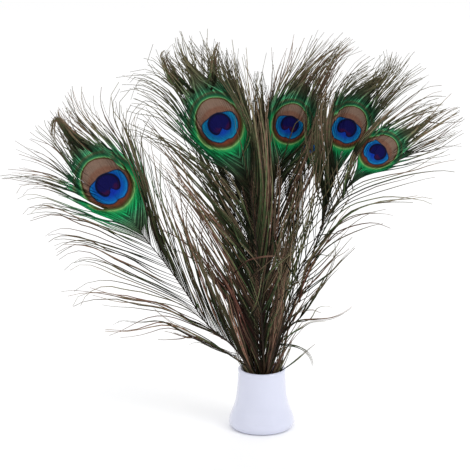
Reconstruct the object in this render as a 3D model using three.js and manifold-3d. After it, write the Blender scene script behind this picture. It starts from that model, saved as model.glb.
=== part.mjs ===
// A bunch of peacock eye feathers standing fanned out in a small flared white vase.
// Millimetres, +Z up, +X to the bunch's right as it is looked at. The origin is the
// middle of the vase's underside.
import * as THREE from 'three';
import { mergeVertices } from 'three/addons/utils/BufferGeometryUtils.js';
import Module from 'manifold-3d';

const wasm = await Module();
wasm.setup();

// ---- Vase -------------------------------------------------------------------------
const VASE_HEIGHT = 50;
const VASE_FLOOR = 4;
const FOOT_RADIUS = 24.5;
const BELL_RADIUS = 26.7;
const NECK_RADIUS = 19.5;
const MOUTH_RADIUS = 16.4;
const VASE_SIDES = 28;

// ---- Feathers ---------------------------------------------------------------------
const FOOT_HEIGHT = 5; // the cut ends stand just above the vase's floor
const QUILL_RADIUS = 1.25; // at the cut end
const SHAFT_TIP_RADIUS = 0.55; // where the shaft runs out in the eye
const SHAFT_STEPS = 10;
const SHAFT_SIDES = 4; // the shaft of a tail feather is nearly square
const VANE_THICKNESS = 0.8;
const VANE_SIDES = 18;
const VANE_POINT = 0.45; // how far the eye vane is drawn out towards the feather's top
const LOCKS_A_SIDE = 13;
const LOWEST_LOCK = 0.27; // share of the shaft below the first lock, most of it in the vase
const HIGHEST_LOCK = 0.99; // the same for the last lock
const LOCK_CROWDING = 1.5; // how strongly the roots crowd together towards the eye
const LOCK_BEND = 0.6; // share of a lock's length at which it bends
const LOCK_SLANT = 0.5; // how much a lock follows the shaft where it leaves it
const LOCK_SPREAD = 0.2; // how much its tip turns away from the shaft
const LOCK_DROOP = 0.3; // how much its tip falls back along the shaft
const LOCK_START_PULL = 0.4; // share of its length over which it keeps its first way
const LOCK_END_PULL = 0.28; // the same for its last way
const LOCK_ROOT_STEP = 0.05; // steps in which its start moves out to the vane's rim
const LOCK_ROOT_WIDTH = 2.6;
const LOCK_MIDDLE_WIDTH = 3.2;
const LOCK_TIP_WIDTH = 0.9;

// Each feather is flat and lies in a plane of its own. offset is where that plane meets
// the ground behind the origin, lean tips it to the front and turn swings it about the
// vertical, in degrees. All points are [across, up] in the plane: foot is the cut end in
// the vase, shaft its line from the mouth to the eye, left and right the outline that
// the tips of the locks reach, from the lowest lock to the top one. eye is the width and
// length of the closed vane around the eye spot. curl is how far the tips of the locks
// bow out of the plane, to the front where it is positive.
const FEATHERS = [
  {
    name: 'feather_low_left',
    offset: -3.5, lean: 6.5, turn: 6, foot: 13, eye: [48, 54], curl: 0,
    shaft: [[-10, 52], [-25, 74], [-45, 93], [-62, 121], [-78, 146], [-94, 168],
      [-110, 193], [-120, 207]],
    left: [[-91, 86], [-133, 92], [-149, 116], [-164, 154], [-185, 187], [-204, 220], [-194, 244],
      [-179, 261], [-165, 273]],
    right: [[-34, 123], [-52, 166], [-69, 204], [-87, 238], [-104, 266], [-115, 300], [-133, 288],
      [-149, 291], [-159, 277]],
  },
  {
    name: 'feather_upper_left',
    offset: -2.1, lean: 3.9, turn: 2, foot: 5, eye: [44, 50], curl: 0,
    shaft: [[2, 50], [-1, 102], [-4, 145], [-7, 177], [-11, 203], [-18, 228], [-31, 248]],
    left: [[-33, 102], [-62, 154], [-88, 192], [-111, 229], [-117, 269], [-99, 299], [-80, 311]],
    right: [[12, 111], [17, 161], [16, 211], [14, 260], [3, 298], [-19, 312], [-46, 324],
      [-69, 318]],
  },
  {
    name: 'feather_middle',
    offset: 0.7, lean: -1.3, turn: -1, foot: 1, eye: [38, 44], curl: 0,
    shaft: [[1, 49], [2, 107], [5, 157], [8, 198], [15, 229], [20, 244]],
    left: [[-11, 115], [-18, 165], [-20, 214], [-15, 262], [4, 300], [29, 314], [51, 319]],
    right: [[18, 107], [32, 148], [48, 190], [58, 230], [64, 274], [68, 304], [63, 319]],
  },
  {
    name: 'feather_upper_right',
    offset: -0.7, lean: 1.3, turn: -3, foot: -6, eye: [38, 44], curl: 0,
    shaft: [[8, 50], [24, 100], [40, 147], [52, 189], [60, 225], [65, 245]],
    left: [[7, 109], [13, 159], [22, 209], [33, 257], [52, 289], [79, 305], [97, 313]],
    right: [[55, 109], [72, 145], [87, 181], [104, 226], [123, 266], [130, 290], [114, 309]],
  },
  {
    name: 'feather_low_right',
    offset: -4.9, lean: 9.1, turn: -7, foot: -9, eye: [34, 42], curl: 9,
    shaft: [[6, 53], [18, 94], [32, 142], [52, 185], [73, 221], [88, 241]],
    left: [[23, 126], [34, 178], [50, 221], [67, 254], [97, 277], [127, 292], [141, 286]],
    right: [[43, 62], [60, 95], [71, 171], [110, 199], [139, 203], [151, 242], [157, 269]],
  },
  {
    name: 'feather_half_hidden',
    offset: 2.1, lean: -3.9, turn: -2, foot: -4, eye: [34, 40], curl: 0,
    shaft: [[5, 48], [17, 105], [27, 155], [35, 196], [38, 224]],
    left: [[-3, 113], [3, 163], [11, 212], [21, 256], [32, 284], [42, 299]],
    right: [[32, 114], [48, 155], [57, 196], [61, 237], [59, 273], [51, 299]],
  },
  {
    name: 'feather_back_left',
    offset: 3.5, lean: -6.5, turn: -4, foot: 4, eye: [38, 44], curl: 0,
    shaft: [[-5, 47], [-10, 103], [-17, 153], [-23, 198], [-29, 230], [-33, 244]],
    left: [[-37, 103], [-61, 152], [-75, 201], [-80, 245], [-75, 286], [-64, 320], [-48, 310]],
    right: [[4, 112], [7, 161], [5, 210], [-2, 255], [-12, 287], [-23, 302], [-35, 314]],
  },
  {
    name: 'feather_back_middle',
    offset: 4.9, lean: -9.1, turn: 3, foot: 6, eye: [34, 40], curl: -10,
    shaft: [[0, 46], [0, 102], [-1, 152], [-1, 193], [0, 217]],
    left: [[-20, 111], [-26, 156], [-29, 201], [-25, 246], [-17, 276], [-9, 287]],
    right: [[18, 110], [24, 156], [26, 201], [23, 245], [14, 275], [-1, 287]],
  },
];

// ---- Colours ----------------------------------------------------------------------
const GLAZE = { color: 0xf1f3fa, roughness: 0.16, metalness: 0 };
const FEATHER = { color: 0x2f3a22, roughness: 0.55, metalness: 0 };

// ---- Solids -----------------------------------------------------------------------

// A closed three.js shape as a manifold-3d solid.
function toSolid(geometry) {
  const bare = geometry.clone();
  bare.deleteAttribute('normal');
  bare.deleteAttribute('uv');
  const merged = mergeVertices(bare, 1e-4);
  return new wasm.Manifold(new wasm.Mesh({
    numProp: 3,
    vertProperties: new Float32Array(merged.attributes.position.array),
    triVerts: new Uint32Array(merged.index.array),
  }));
}

// A manifold-3d solid as three.js geometry.
function toGeometry(solid) {
  const { vertProperties, triVerts } = solid.getMesh();
  const geometry = new THREE.BufferGeometry();
  geometry.setAttribute('position', new THREE.BufferAttribute(vertProperties, 3));
  geometry.setIndex(new THREE.BufferAttribute(triVerts, 1));
  geometry.computeVertexNormals();
  return geometry;
}

// The hollow vase: a near straight neck that flares to a bell at the foot.
function vaseGeometry() {
  const lip = (NECK_RADIUS - MOUTH_RADIUS) / 2;
  const profile = [
    [0, 0], [FOOT_RADIUS, 0], [FOOT_RADIUS + 1.5, 0.7], [BELL_RADIUS, 3.2], [BELL_RADIUS - 0.5, 8],
    [24.5, 13], [22.4, 18.5], [20.9, 25.5], [NECK_RADIUS + 0.5, 34],
    [NECK_RADIUS, VASE_HEIGHT - lip], [NECK_RADIUS - 0.5, VASE_HEIGHT - 0.4],
    [NECK_RADIUS - lip, VASE_HEIGHT], [MOUTH_RADIUS + 0.5, VASE_HEIGHT - 0.4],
    [MOUTH_RADIUS, VASE_HEIGHT - lip], [16.8, 34], [18.2, 23], [21.3, 13], [22.6, 8],
    [19, VASE_FLOOR], [0, VASE_FLOOR],
  ].map(([radius, height]) => new THREE.Vector2(radius, height));
  return new THREE.LatheGeometry(profile, VASE_SIDES).rotateX(Math.PI / 2);
}

// A smooth line through points of a feather's plane.
function lineThrough(points) {
  return new THREE.CatmullRomCurve3(points.map(([across, up]) => new THREE.Vector3(across, up, 0)));
}

// The round shaft from the cut end to the eye, thinner as it rises.
function shaftGeometry(line) {
  const section = new THREE.Shape();
  for (let side = 0; side < SHAFT_SIDES; side++) {
    const angle = (2 * Math.PI * (side + 0.5)) / SHAFT_SIDES;
    const corner = [QUILL_RADIUS * Math.cos(angle), QUILL_RADIUS * Math.sin(angle)];
    if (side === 0) section.moveTo(...corner);
    else section.lineTo(...corner);
  }
  const geometry = new THREE.ExtrudeGeometry(section, { extrudePath: line, steps: SHAFT_STEPS });
  const middles = line.getSpacedPoints(SHAFT_STEPS);
  const corner = new THREE.Vector3();
  const position = geometry.attributes.position;
  for (let i = 0; i < position.count; i++) {
    corner.fromBufferAttribute(position, i);
    const distances = middles.map((middle) => middle.distanceTo(corner));
    const nearest = distances.indexOf(Math.min(...distances));
    const share = nearest / SHAFT_STEPS;
    const size = THREE.MathUtils.lerp(1, SHAFT_TIP_RADIUS / QUILL_RADIUS, share);
    corner.sub(middles[nearest]).multiplyScalar(size).add(middles[nearest]);
    position.setXYZ(i, corner.x, corner.y, corner.z);
  }
  return geometry;
}

// A flat outline of the vane's thickness, centred on the feather's plane.
function sheetGeometry(outline) {
  const shape = new THREE.Shape(outline.map((point) => new THREE.Vector2(point.x, point.y)));
  const sheet = new THREE.ExtrudeGeometry(shape, { depth: VANE_THICKNESS, bevelEnabled: false });
  return sheet.translate(0, 0, -VANE_THICKNESS / 2);
}

// The closed vane around the eye spot: an oval about the shaft's end, drawn out to a
// point towards the top of the feather.
function eyeVane(line, [width, length], top) {
  const middle = line.getPointAt(1);
  const along = line.getTangentAt(1);
  const across = new THREE.Vector3(along.y, -along.x, 0);
  const outline = [];
  for (let side = 0; side < VANE_SIDES; side++) {
    const angle = (2 * Math.PI * side) / VANE_SIDES;
    const pull = VANE_POINT * Math.max(0, Math.sin(angle)) ** 5;
    outline.push(middle.clone()
      .addScaledVector(across, (width / 2) * Math.cos(angle))
      .addScaledVector(along, (length / 2) * Math.sin(angle))
      .lerp(top, pull));
  }
  const holds = (point) => {
    const from = point.clone().sub(middle);
    const x = from.dot(across) / (width / 2 - LOCK_ROOT_WIDTH);
    const y = from.dot(along) / (length / 2 - LOCK_ROOT_WIDTH);
    return x * x + y * y < 1;
  };
  return { geometry: sheetGeometry(outline), holds };
}

// One lock of barbs, a tapering ribbon that leaves the shaft slanting upwards, bends
// away from it, droops a little at its tip and bows out of the plane by the curl. Where
// the closed vane holds its first stretch, it starts just inside the vane's rim.
function lockGeometry(root, along, away, tip, vane, curl) {
  const reach = root.distanceTo(tip);
  const chord = tip.clone().sub(root).normalize();
  const start = chord.clone().addScaledVector(along, LOCK_SLANT).normalize();
  const end = chord.clone().addScaledVector(away, LOCK_SPREAD)
    .addScaledVector(along, -LOCK_DROOP).normalize();
  const path = new THREE.CubicBezierCurve3(
    root,
    root.clone().addScaledVector(start, reach * LOCK_START_PULL),
    tip.clone().addScaledVector(end, -reach * LOCK_END_PULL),
    tip,
  );
  let first = 0;
  const latest = LOCK_BEND - 2 * LOCK_ROOT_STEP;
  while (first < latest && vane.holds(path.getPoint(first + LOCK_ROOT_STEP))) {
    first += LOCK_ROOT_STEP;
  }
  const stations = [
    { share: first, width: LOCK_ROOT_WIDTH },
    { share: LOCK_BEND, width: LOCK_MIDDLE_WIDTH },
    { share: 1, width: LOCK_TIP_WIDTH },
  ];
  const ribbon = new THREE.BoxGeometry(1, 1, 1, 1, stations.length - 1, 1);
  const position = ribbon.attributes.position;
  for (let i = 0; i < position.count; i++) {
    const station = Math.round((position.getY(i) + 0.5) * (stations.length - 1));
    const { share, width } = stations[station];
    const middle = path.getPoint(share);
    const tangent = path.getTangent(share);
    const side = new THREE.Vector3(tangent.y, -tangent.x, 0);
    const corner = middle.addScaledVector(side, position.getX(i) * width);
    const bow = curl * ((share - first) / (1 - first)) ** 2;
    position.setXYZ(i, corner.x, corner.y, bow + position.getZ(i) * VANE_THICKNESS);
  }
  return ribbon;
}

// All the locks of one side. The tips are spaced evenly along the outline, while the
// roots crowd together towards the eye.
function* locks(line, outline, side, vane, curl) {
  const tips = lineThrough(outline);
  for (let i = 0; i < LOCKS_A_SIDE; i++) {
    const share = i / (LOCKS_A_SIDE - 1);
    const rise = Math.sin((Math.PI / 2) * share) ** LOCK_CROWDING;
    const place = THREE.MathUtils.lerp(LOWEST_LOCK, HIGHEST_LOCK, rise);
    const along = line.getTangentAt(place);
    const away = new THREE.Vector3(side * along.y, -side * along.x, 0);
    const root = line.getPointAt(place);
    yield lockGeometry(root, along, away, tips.getPointAt(share), vane, curl);
  }
}

// A whole feather in one piece: shaft, eye vane and locks.
function featherGeometry({ foot, shaft, left, right, eye, curl }) {
  const line = lineThrough([[foot, FOOT_HEIGHT], ...shaft]);
  const vane = eyeVane(line, eye, lineThrough(left).getPointAt(1));
  let solid = toSolid(vane.geometry);
  for (const lock of locks(line, left, -1, vane, curl)) solid = solid.add(toSolid(lock));
  for (const lock of locks(line, right, 1, vane, curl)) solid = solid.add(toSolid(lock));
  return toGeometry(solid.add(toSolid(shaftGeometry(line))));
}

// ---- Assembly ---------------------------------------------------------------------
const bunch = new THREE.Group();

const vase = new THREE.Mesh(vaseGeometry(), new THREE.MeshStandardMaterial(GLAZE));
vase.name = 'vase';
bunch.add(vase);

for (const feather of FEATHERS) {
  const mesh = new THREE.Mesh(featherGeometry(feather), new THREE.MeshStandardMaterial(FEATHER));
  mesh.name = feather.name;
  mesh.position.set(0, feather.offset, 0);
  mesh.rotation.set(
    Math.PI / 2 + THREE.MathUtils.degToRad(feather.lean),
    0,
    THREE.MathUtils.degToRad(feather.turn),
    'ZYX',
  );
  bunch.add(mesh);
}

export default bunch;
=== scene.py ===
"""Peacock eye feathers fanned out in a small flared white vase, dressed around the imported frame.

Every feather lies about a plane of its own. Its shaft, its closed vane and its several hundred
barbs are worked out in that plane in millimetres, as across, up and out, and then placed in the
frame in metres.
"""

from __future__ import annotations

import logging
import math
from dataclasses import dataclass
from enum import Enum

import bmesh
import bpy
import numpy as np
from mathutils import Matrix, Vector

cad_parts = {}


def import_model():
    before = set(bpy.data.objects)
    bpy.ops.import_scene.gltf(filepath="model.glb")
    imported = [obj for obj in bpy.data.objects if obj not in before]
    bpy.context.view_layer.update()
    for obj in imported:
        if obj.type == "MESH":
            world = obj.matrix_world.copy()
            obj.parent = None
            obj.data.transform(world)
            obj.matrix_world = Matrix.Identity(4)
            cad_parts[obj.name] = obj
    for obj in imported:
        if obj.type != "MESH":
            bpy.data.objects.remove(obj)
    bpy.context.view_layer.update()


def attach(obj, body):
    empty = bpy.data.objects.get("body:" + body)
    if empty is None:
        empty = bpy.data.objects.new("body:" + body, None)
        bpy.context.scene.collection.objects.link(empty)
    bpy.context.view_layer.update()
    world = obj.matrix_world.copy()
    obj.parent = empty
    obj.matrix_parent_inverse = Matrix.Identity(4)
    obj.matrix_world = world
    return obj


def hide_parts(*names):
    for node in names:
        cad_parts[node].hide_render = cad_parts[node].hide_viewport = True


LOG = logging.getLogger("peacock_feathers")
MM = 0.001
BODY = "root"
EYE_MAP = "Feather"  # across and up from the eye spot's middle, in disc radii
BARB_MAP = "Barb"  # across a barb and along it
SPAN_STEPS = 40  # steps of a smooth line between two of its points


class Facing(Enum):
    """Which way a feather shows the coloured side of its eye."""

    FRONT = 1
    BACK = -1


# ---- Colour and node helpers ----------------------------------------------------------------


def colour(text: str) -> tuple[float, float, float, float]:
    """A web colour as the linear one that shaders take.

    Args:
        text: Six hexadecimal digits, red first.

    Returns:
        Linear red, green and blue, and an alpha of 1.
    """
    parts = [int(text[i : i + 2], 16) / 255 for i in (0, 2, 4)]
    linear = [p / 12.92 if p < 0.04045 else ((p + 0.055) / 1.055) ** 2.4 for p in parts]
    return (*linear, 1.0)


class Weave:
    """Adds and links the nodes of one shader tree."""

    def __init__(self, tree: bpy.types.NodeTree) -> None:
        """Start on a tree.

        Args:
            tree: A material's or a group's node tree.
        """
        self.tree = tree

    def node(self, kind: str, **settings: object) -> bpy.types.Node:
        """Add a node.

        Args:
            kind: The node's type name.
            settings: Properties to set on it.

        Returns:
            The new node.
        """
        made = self.tree.nodes.new(kind)
        for name, value in settings.items():
            setattr(made, name, value)
        return made

    def feed(self, socket: bpy.types.NodeSocket, value: object) -> None:
        """Link a socket to another one, or set its value.

        Args:
            socket: The input socket.
            value: An output socket, a number or a colour.
        """
        if isinstance(value, bpy.types.NodeSocket):
            self.tree.links.new(value, socket)
        else:
            socket.default_value = value

    def math(self, operation: str, *values: object, clamp: bool = False) -> bpy.types.NodeSocket:
        """Work out a number from up to three others.

        Args:
            operation: The Math node's operation.
            values: Sockets or numbers.
            clamp: Whether the result is kept between 0 and 1.

        Returns:
            The result's socket.
        """
        made = self.node("ShaderNodeMath", operation=operation, use_clamp=clamp)
        for socket, value in zip(made.inputs, values):
            self.feed(socket, value)
        return made.outputs[0]

    def ease(self, value: object, low: float, high: float) -> bpy.types.NodeSocket:
        """A smooth step from 0 at low to 1 at high.

        Args:
            value: The number's socket.
            low: Where the step starts.
            high: Where it ends, which may be below low.

        Returns:
            The step's socket.
        """
        made = self.node("ShaderNodeMapRange", interpolation_type="SMOOTHSTEP")
        flipped = high < low
        for name, number in (
            ("From Min", min(low, high)),
            ("From Max", max(low, high)),
            ("To Min", 1.0 if flipped else 0.0),
            ("To Max", 0.0 if flipped else 1.0),
        ):
            made.inputs[name].default_value = number
        self.feed(made.inputs["Value"], value)
        return made.outputs["Result"]

    def mix(self, share: object, first: object, second: object) -> bpy.types.NodeSocket:
        """Mix two colours.

        Args:
            share: How much of the second, from 0 to 1.
            first: A colour or its socket.
            second: A colour or its socket.

        Returns:
            The mixed colour's socket.
        """
        made = self.node("ShaderNodeMix", data_type="RGBA")
        for name, value in (("Factor_Float", share), ("A_Color", first), ("B_Color", second)):
            self.feed(next(s for s in made.inputs if s.identifier == name), value)
        return next(s for s in made.outputs if s.identifier == "Result_Color")

    def scaled(self, tone: object, amount: object) -> bpy.types.NodeSocket:
        """A colour made lighter or darker.

        Args:
            tone: The colour's socket.
            amount: What it is multiplied by.

        Returns:
            The new colour's socket.
        """
        made = self.node("ShaderNodeVectorMath", operation="SCALE")
        self.feed(made.inputs[0], tone)
        self.feed(made.inputs["Scale"], amount)
        return made.outputs[0]

    def ramp(self, value: object, stops: list[tuple[float, str]]) -> bpy.types.NodeSocket:
        """A colour ramp.

        Args:
            value: The number that reads the ramp.
            stops: Places from 0 to 1, each with its web colour.

        Returns:
            The colour's socket.
        """
        made = self.node("ShaderNodeValToRGB")
        elements = made.color_ramp.elements
        while len(elements) < len(stops):
            elements.new(0.5)
        for element, (place, tone) in zip(elements, stops):
            element.position = place
            element.color = colour(tone)
        self.feed(made.inputs[0], value)
        return made.outputs["Color"]

    def noise(self, vector: object, scale: float, detail: float = 2.0) -> bpy.types.NodeSocket:
        """Soft noise about 0.5.

        Args:
            vector: The coordinates' socket.
            scale: Features a unit of the coordinates.
            detail: Octaves.

        Returns:
            The noise's socket.
        """
        made = self.node("ShaderNodeTexNoise")
        self.feed(made.inputs["Vector"], vector)
        made.inputs["Scale"].default_value = scale
        made.inputs["Detail"].default_value = detail
        return made.outputs["Fac"]

    def stretched(self, vector: object, scale: tuple[float, float, float]) -> bpy.types.NodeSocket:
        """Coordinates scaled by axis.

        Args:
            vector: The coordinates' socket.
            scale: Their new scale.

        Returns:
            The new coordinates' socket.
        """
        made = self.node("ShaderNodeMapping")
        made.inputs["Scale"].default_value = scale
        self.feed(made.inputs["Vector"], vector)
        return made.outputs[0]

    def own_map(self, name: str) -> bpy.types.NodeSocket:
        """The coordinates of one of the piece's own UV maps."""
        return self.node("ShaderNodeUVMap", uv_map=name).outputs["UV"]

    def own_value(self, name: str) -> bpy.types.NodeSocket:
        """A number that the piece's mesh holds at each point."""
        return self.node("ShaderNodeAttribute", attribute_name=name).outputs["Fac"]

    def place(self) -> bpy.types.NodeSocket:
        """Object coordinates, which are the frame's."""
        return self.node("ShaderNodeTexCoord").outputs["Object"]

    def apart(self, vector: object) -> tuple[bpy.types.NodeSocket, bpy.types.NodeSocket]:
        """The first two numbers of a vector."""
        made = self.node("ShaderNodeSeparateXYZ")
        self.feed(made.inputs[0], vector)
        return made.outputs[0], made.outputs[1]


def shader_group(name: str, outputs: dict[str, str]) -> tuple[bpy.types.NodeTree, Weave]:
    """Start a shader node group.

    Args:
        name: The group's name.
        outputs: Its output sockets and their types.

    Returns:
        The group and what adds nodes to it.
    """
    tree = bpy.data.node_groups.new(name, "ShaderNodeTree")
    for label, kind in outputs.items():
        tree.interface.new_socket(name=label, in_out="OUTPUT", socket_type=kind)
    return tree, Weave(tree)


def close_group(weave: Weave, **results: bpy.types.NodeSocket) -> None:
    """Link a group's results to its outputs.

    Args:
        weave: What adds nodes to the group.
        results: The socket for each output, spaces written as underscores.
    """
    end = weave.node("NodeGroupOutput")
    for name, socket in results.items():
        weave.feed(end.inputs[name.replace("_", " ")], socket)


# ---- Effects that more than one finish uses -------------------------------------------------


@dataclass(frozen=True)
class EyeSpot:
    """The eye spot's zones, in radii of its blue disc, measured from the disc's middle."""

    ring_side: float = 1.33
    ring_tip: float = 1.72
    ring_base: float = 1.42
    tip_cut: float = 0.29
    calm_start: float = 0.05
    calm_end: float = 0.50
    fade_start: float = 0.40
    fade_end: float = 2.2
    pupil_radius: float = 0.68
    pupil_rise: float = 0.06
    pupil_notch: float = 0.44

    def group(self) -> bpy.types.NodeTree:
        """Build the group that colours the eye spot.

        Returns:
            A group with the colour, a mask of how far the spot covers the barbs, and one of
            where they lie calm and close, inside the pale ring.
        """
        tree, w = shader_group(
            "Eye spot", {"Colour": "NodeSocketColor", "Mask": "NodeSocketFloat", "Calm": "NodeSocketFloat"},
        )
        across, up = w.apart(w.own_map(EYE_MAP))
        wobble = w.math("SUBTRACT", w.noise(w.place(), 260.0, 3.0), 0.5)
        distance = self._length(w, across, up)
        distance = w.math("ADD", distance, w.math("MULTIPLY", wobble, 0.07))
        bearing = w.math("DIVIDE", up, w.math("MAXIMUM", distance, 0.01))

        outside = self._outside(w, across, up, distance)
        spread = w.math("SUBTRACT", 0.30, w.math("MULTIPLY", bearing, 0.15))
        zone = w.math("DIVIDE", outside, spread)
        ramp_place = w.math("DIVIDE", w.math("ADD", zone, 1.0), 8.0, clamp=True)
        halo = w.ramp(ramp_place, [
            (0.00, "6b3f28"), (0.085, "43331c"), (0.110, "4d6a38"), (0.126, "7cab66"),
            (0.145, "2f9450"), (0.18, "128248"), (0.235, "0f6e3e"), (0.29, "225c3d"),
            (0.40, "31563c"), (0.56, "37583f"), (0.80, "3b523a"), (1.0, "444f38"),
        ])
        second = w.ramp(ramp_place, [
            (0.00, "6b3f28"), (0.085, "43331c"), (0.110, "557040"), (0.126, "7fab72"),
            (0.15, "3a8a55"), (0.20, "1c5c3c"), (0.27, "274d34"), (0.35, "465239"),
            (0.43, "31704b"), (0.56, "2c5a40"), (0.75, "3c5a40"), (1.0, "465540"),
        ])
        ringed = w.mix(w.ease(bearing, 0.1, 0.6), halo, second)

        bronze = w.mix(w.ease(bearing, -0.6, 0.5), colour("643022"), colour("7e6759"))
        bronze = w.mix(w.math("MULTIPLY", w.ease(distance, 1.22, 1.02), 0.5), bronze, colour("6e3a24"))
        spot = w.mix(w.ease(zone, -0.75, -0.45), bronze, ringed)

        teal = w.own_value("teal")
        bright = w.ramp(w.ease(distance, 0.42, 1.0), [
            (0.0, "082c98"), (0.45, "0648a0"), (0.8, "0656a2"), (1.0, "1070b4"),
        ])
        sea = w.ramp(w.ease(distance, 0.42, 1.0), [
            (0.0, "073890"), (0.45, "08568c"), (0.8, "08668c"), (1.0, "14809c"),
        ])
        disc = w.mix(teal, bright, sea)
        turned = w.math("ARCCOSINE", w.math("MULTIPLY", bearing, -0.999))
        nick = w.math("MULTIPLY", self._bump(w, turned, 0.22), 0.12)
        cut = w.math("MULTIPLY", w.ease(bearing, 0.35, 0.95), self.tip_cut)
        rim = w.math("SUBTRACT", distance, w.math("SUBTRACT", 1.0, w.math("ADD", nick, cut)))
        spot = w.mix(w.ease(rim, 0.09, 0.02), spot, colour("10243a"))
        spot = w.mix(w.ease(rim, 0.02, -0.04), spot, disc)

        raised = w.math("SUBTRACT", up, self.pupil_rise)
        reach = w.math("ADD", self._length(w, across, raised), w.math("MULTIPLY", wobble, 0.05))
        below = w.math("DIVIDE", raised, w.math("MAXIMUM", reach, 0.01))
        swing = w.math("ARCCOSINE", w.math("MULTIPLY", below, -0.999))
        notch = w.math("MULTIPLY", self._bump(w, swing, 0.42), self.pupil_notch)
        inside = w.math("SUBTRACT", reach, w.math("SUBTRACT", self.pupil_radius, notch))
        blotch = w.math("MULTIPLY", w.noise(w.place(), 180.0, 2.0), w.ease(up, 0.35, -0.25))
        dark = w.mix(w.ease(blotch, 0.36, 0.54), colour("0a0a46"), colour("2e0a38"))
        dark = w.mix(w.ease(inside, -0.20, -0.02), dark, colour("050520"))
        spot = w.mix(w.ease(inside, 0.04, -0.04), spot, dark)

        covered = w.ease(outside, self.fade_end, self.fade_start)
        close_group(w, Colour=spot, Mask=covered, Calm=w.ease(outside, self.calm_end, self.calm_start))
        return tree

    @staticmethod
    def _length(w: Weave, across: object, up: object) -> bpy.types.NodeSocket:
        """The length of the vector with these two parts."""
        squares = w.math("ADD", w.math("MULTIPLY", across, across), w.math("MULTIPLY", up, up))
        return w.math("SQRT", squares)

    @staticmethod
    def _bump(w: Weave, angle: object, width: float) -> bpy.types.NodeSocket:
        """A bell of this width in radians about an angle of 0."""
        share = w.math("DIVIDE", angle, width)
        return w.math("POWER", math.e, w.math("MULTIPLY", w.math("MULTIPLY", share, share), -1.0))

    def _outside(self, w: Weave, across: object, up: object, distance: object) -> bpy.types.NodeSocket:
        """How far a point lies outside the egg-shaped pale ring, in disc radii."""
        tipward = w.math("GREATER_THAN", up, 0.0)
        stretch = w.math("ADD", self.ring_base, w.math("MULTIPLY", tipward, self.ring_tip - self.ring_base))
        egg = self._length(w, w.math("DIVIDE", across, self.ring_side), w.math("DIVIDE", up, stretch))
        reach = w.math("DIVIDE", self._length(w, across, up), w.math("MAXIMUM", egg, 0.01))
        return w.math("SUBTRACT", distance, reach)


@dataclass(frozen=True)
class BarbTone:
    """The colour of loose barbs: dark olive, green, brown and red-brown by the lock, with painted shade
    towards their roots and painted light and shade on each barb.

    Attributes:
        outer_shade: The painted light and shade that barbs come near to in their outer half.
    """

    outer_shade: float = 1.1

    def group(self) -> bpy.types.NodeTree:
        """Build the group that colours loose barbs.

        Returns:
            A group with the colour.
        """
        tree, w = shader_group("Barb tone", {"Colour": "NodeSocketColor"})
        tint = w.own_value("tint")
        along = w.own_value("along")
        speckle = w.noise(w.place(), 420.0, 3.0)
        speckled = w.math("ADD", tint, w.math("MULTIPLY", w.math("SUBTRACT", speckle, 0.5), 0.5))
        reading = w.math("ADD", speckled, w.math("MULTIPLY", w.ease(along, 0.25, 0.65), 0.10), clamp=True)
        tone = w.ramp(reading, [
            (0.00, "241d16"), (0.20, "483b2c"), (0.38, "46432d"), (0.54, "384c2e"),
            (0.70, "5c493b"), (0.86, "64473c"), (1.00, "5e3a32"),
        ])
        pale = w.mix(w.math("MULTIPLY", w.ease(along, 0.3, 0.9), 0.4), tone, colour("86745f"))
        # Painted shade: barbs darken towards their roots, where they lie deep in the bunch.
        painted_root_shade = w.math("ADD", 0.22, w.math("MULTIPLY", w.ease(along, 0.0, 0.65), 0.78))
        # Each barb's painted light and shade, evened towards outer_shade in its outer half.
        shade = w.own_value("shade")
        outer = w.math("MULTIPLY", w.ease(along, 0.2, 0.7), 0.65)
        even = w.math("MULTIPLY", w.math("SUBTRACT", self.outer_shade, shade), outer)
        close_group(w, Colour=w.scaled(pale, w.math("MULTIPLY", painted_root_shade, w.math("ADD", shade, even))))
        return tree


@dataclass(frozen=True)
class BarbuleGrain:
    """The fine comb of barbules that crosses every barb."""

    pitch: float = 240.0  # barbules along a barb

    def group(self) -> bpy.types.NodeTree:
        """Build the group that ribs a barb.

        Returns:
            A group with the height of the ribs and a mask of their gaps, where barbs take painted shade.
        """
        tree, w = shader_group("Barbule grain", {"Height": "NodeSocketFloat", "Gap": "NodeSocketFloat"})
        across, along = w.apart(w.own_map(BARB_MAP))
        slant = w.math("ADD", w.math("MULTIPLY", along, self.pitch), w.math("ABSOLUTE", across))
        wave = w.math("SINE", w.math("MULTIPLY", slant, math.tau))
        close_group(w, Height=w.math("MULTIPLY", wave, 0.5), Gap=w.ease(wave, -0.2, -0.9))
        return tree


class Effects:
    """The shader groups, each built once."""

    def __init__(self) -> None:
        """Build all groups."""
        self.eye = EyeSpot().group()
        self.tone = BarbTone().group()
        self.grain = BarbuleGrain().group()


# ---- Finishes -------------------------------------------------------------------------------


def material(name: str) -> tuple[bpy.types.Material, Weave, bpy.types.Node]:
    """Start a material with one main shader.

    Args:
        name: The material's name.

    Returns:
        The material, what adds nodes to it, and its Principled shader.
    """
    made = bpy.data.materials.new(name)
    made.use_nodes = True
    w = Weave(made.node_tree)
    shader = next(n for n in made.node_tree.nodes if n.type == "BSDF_PRINCIPLED")
    return made, w, shader


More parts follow.
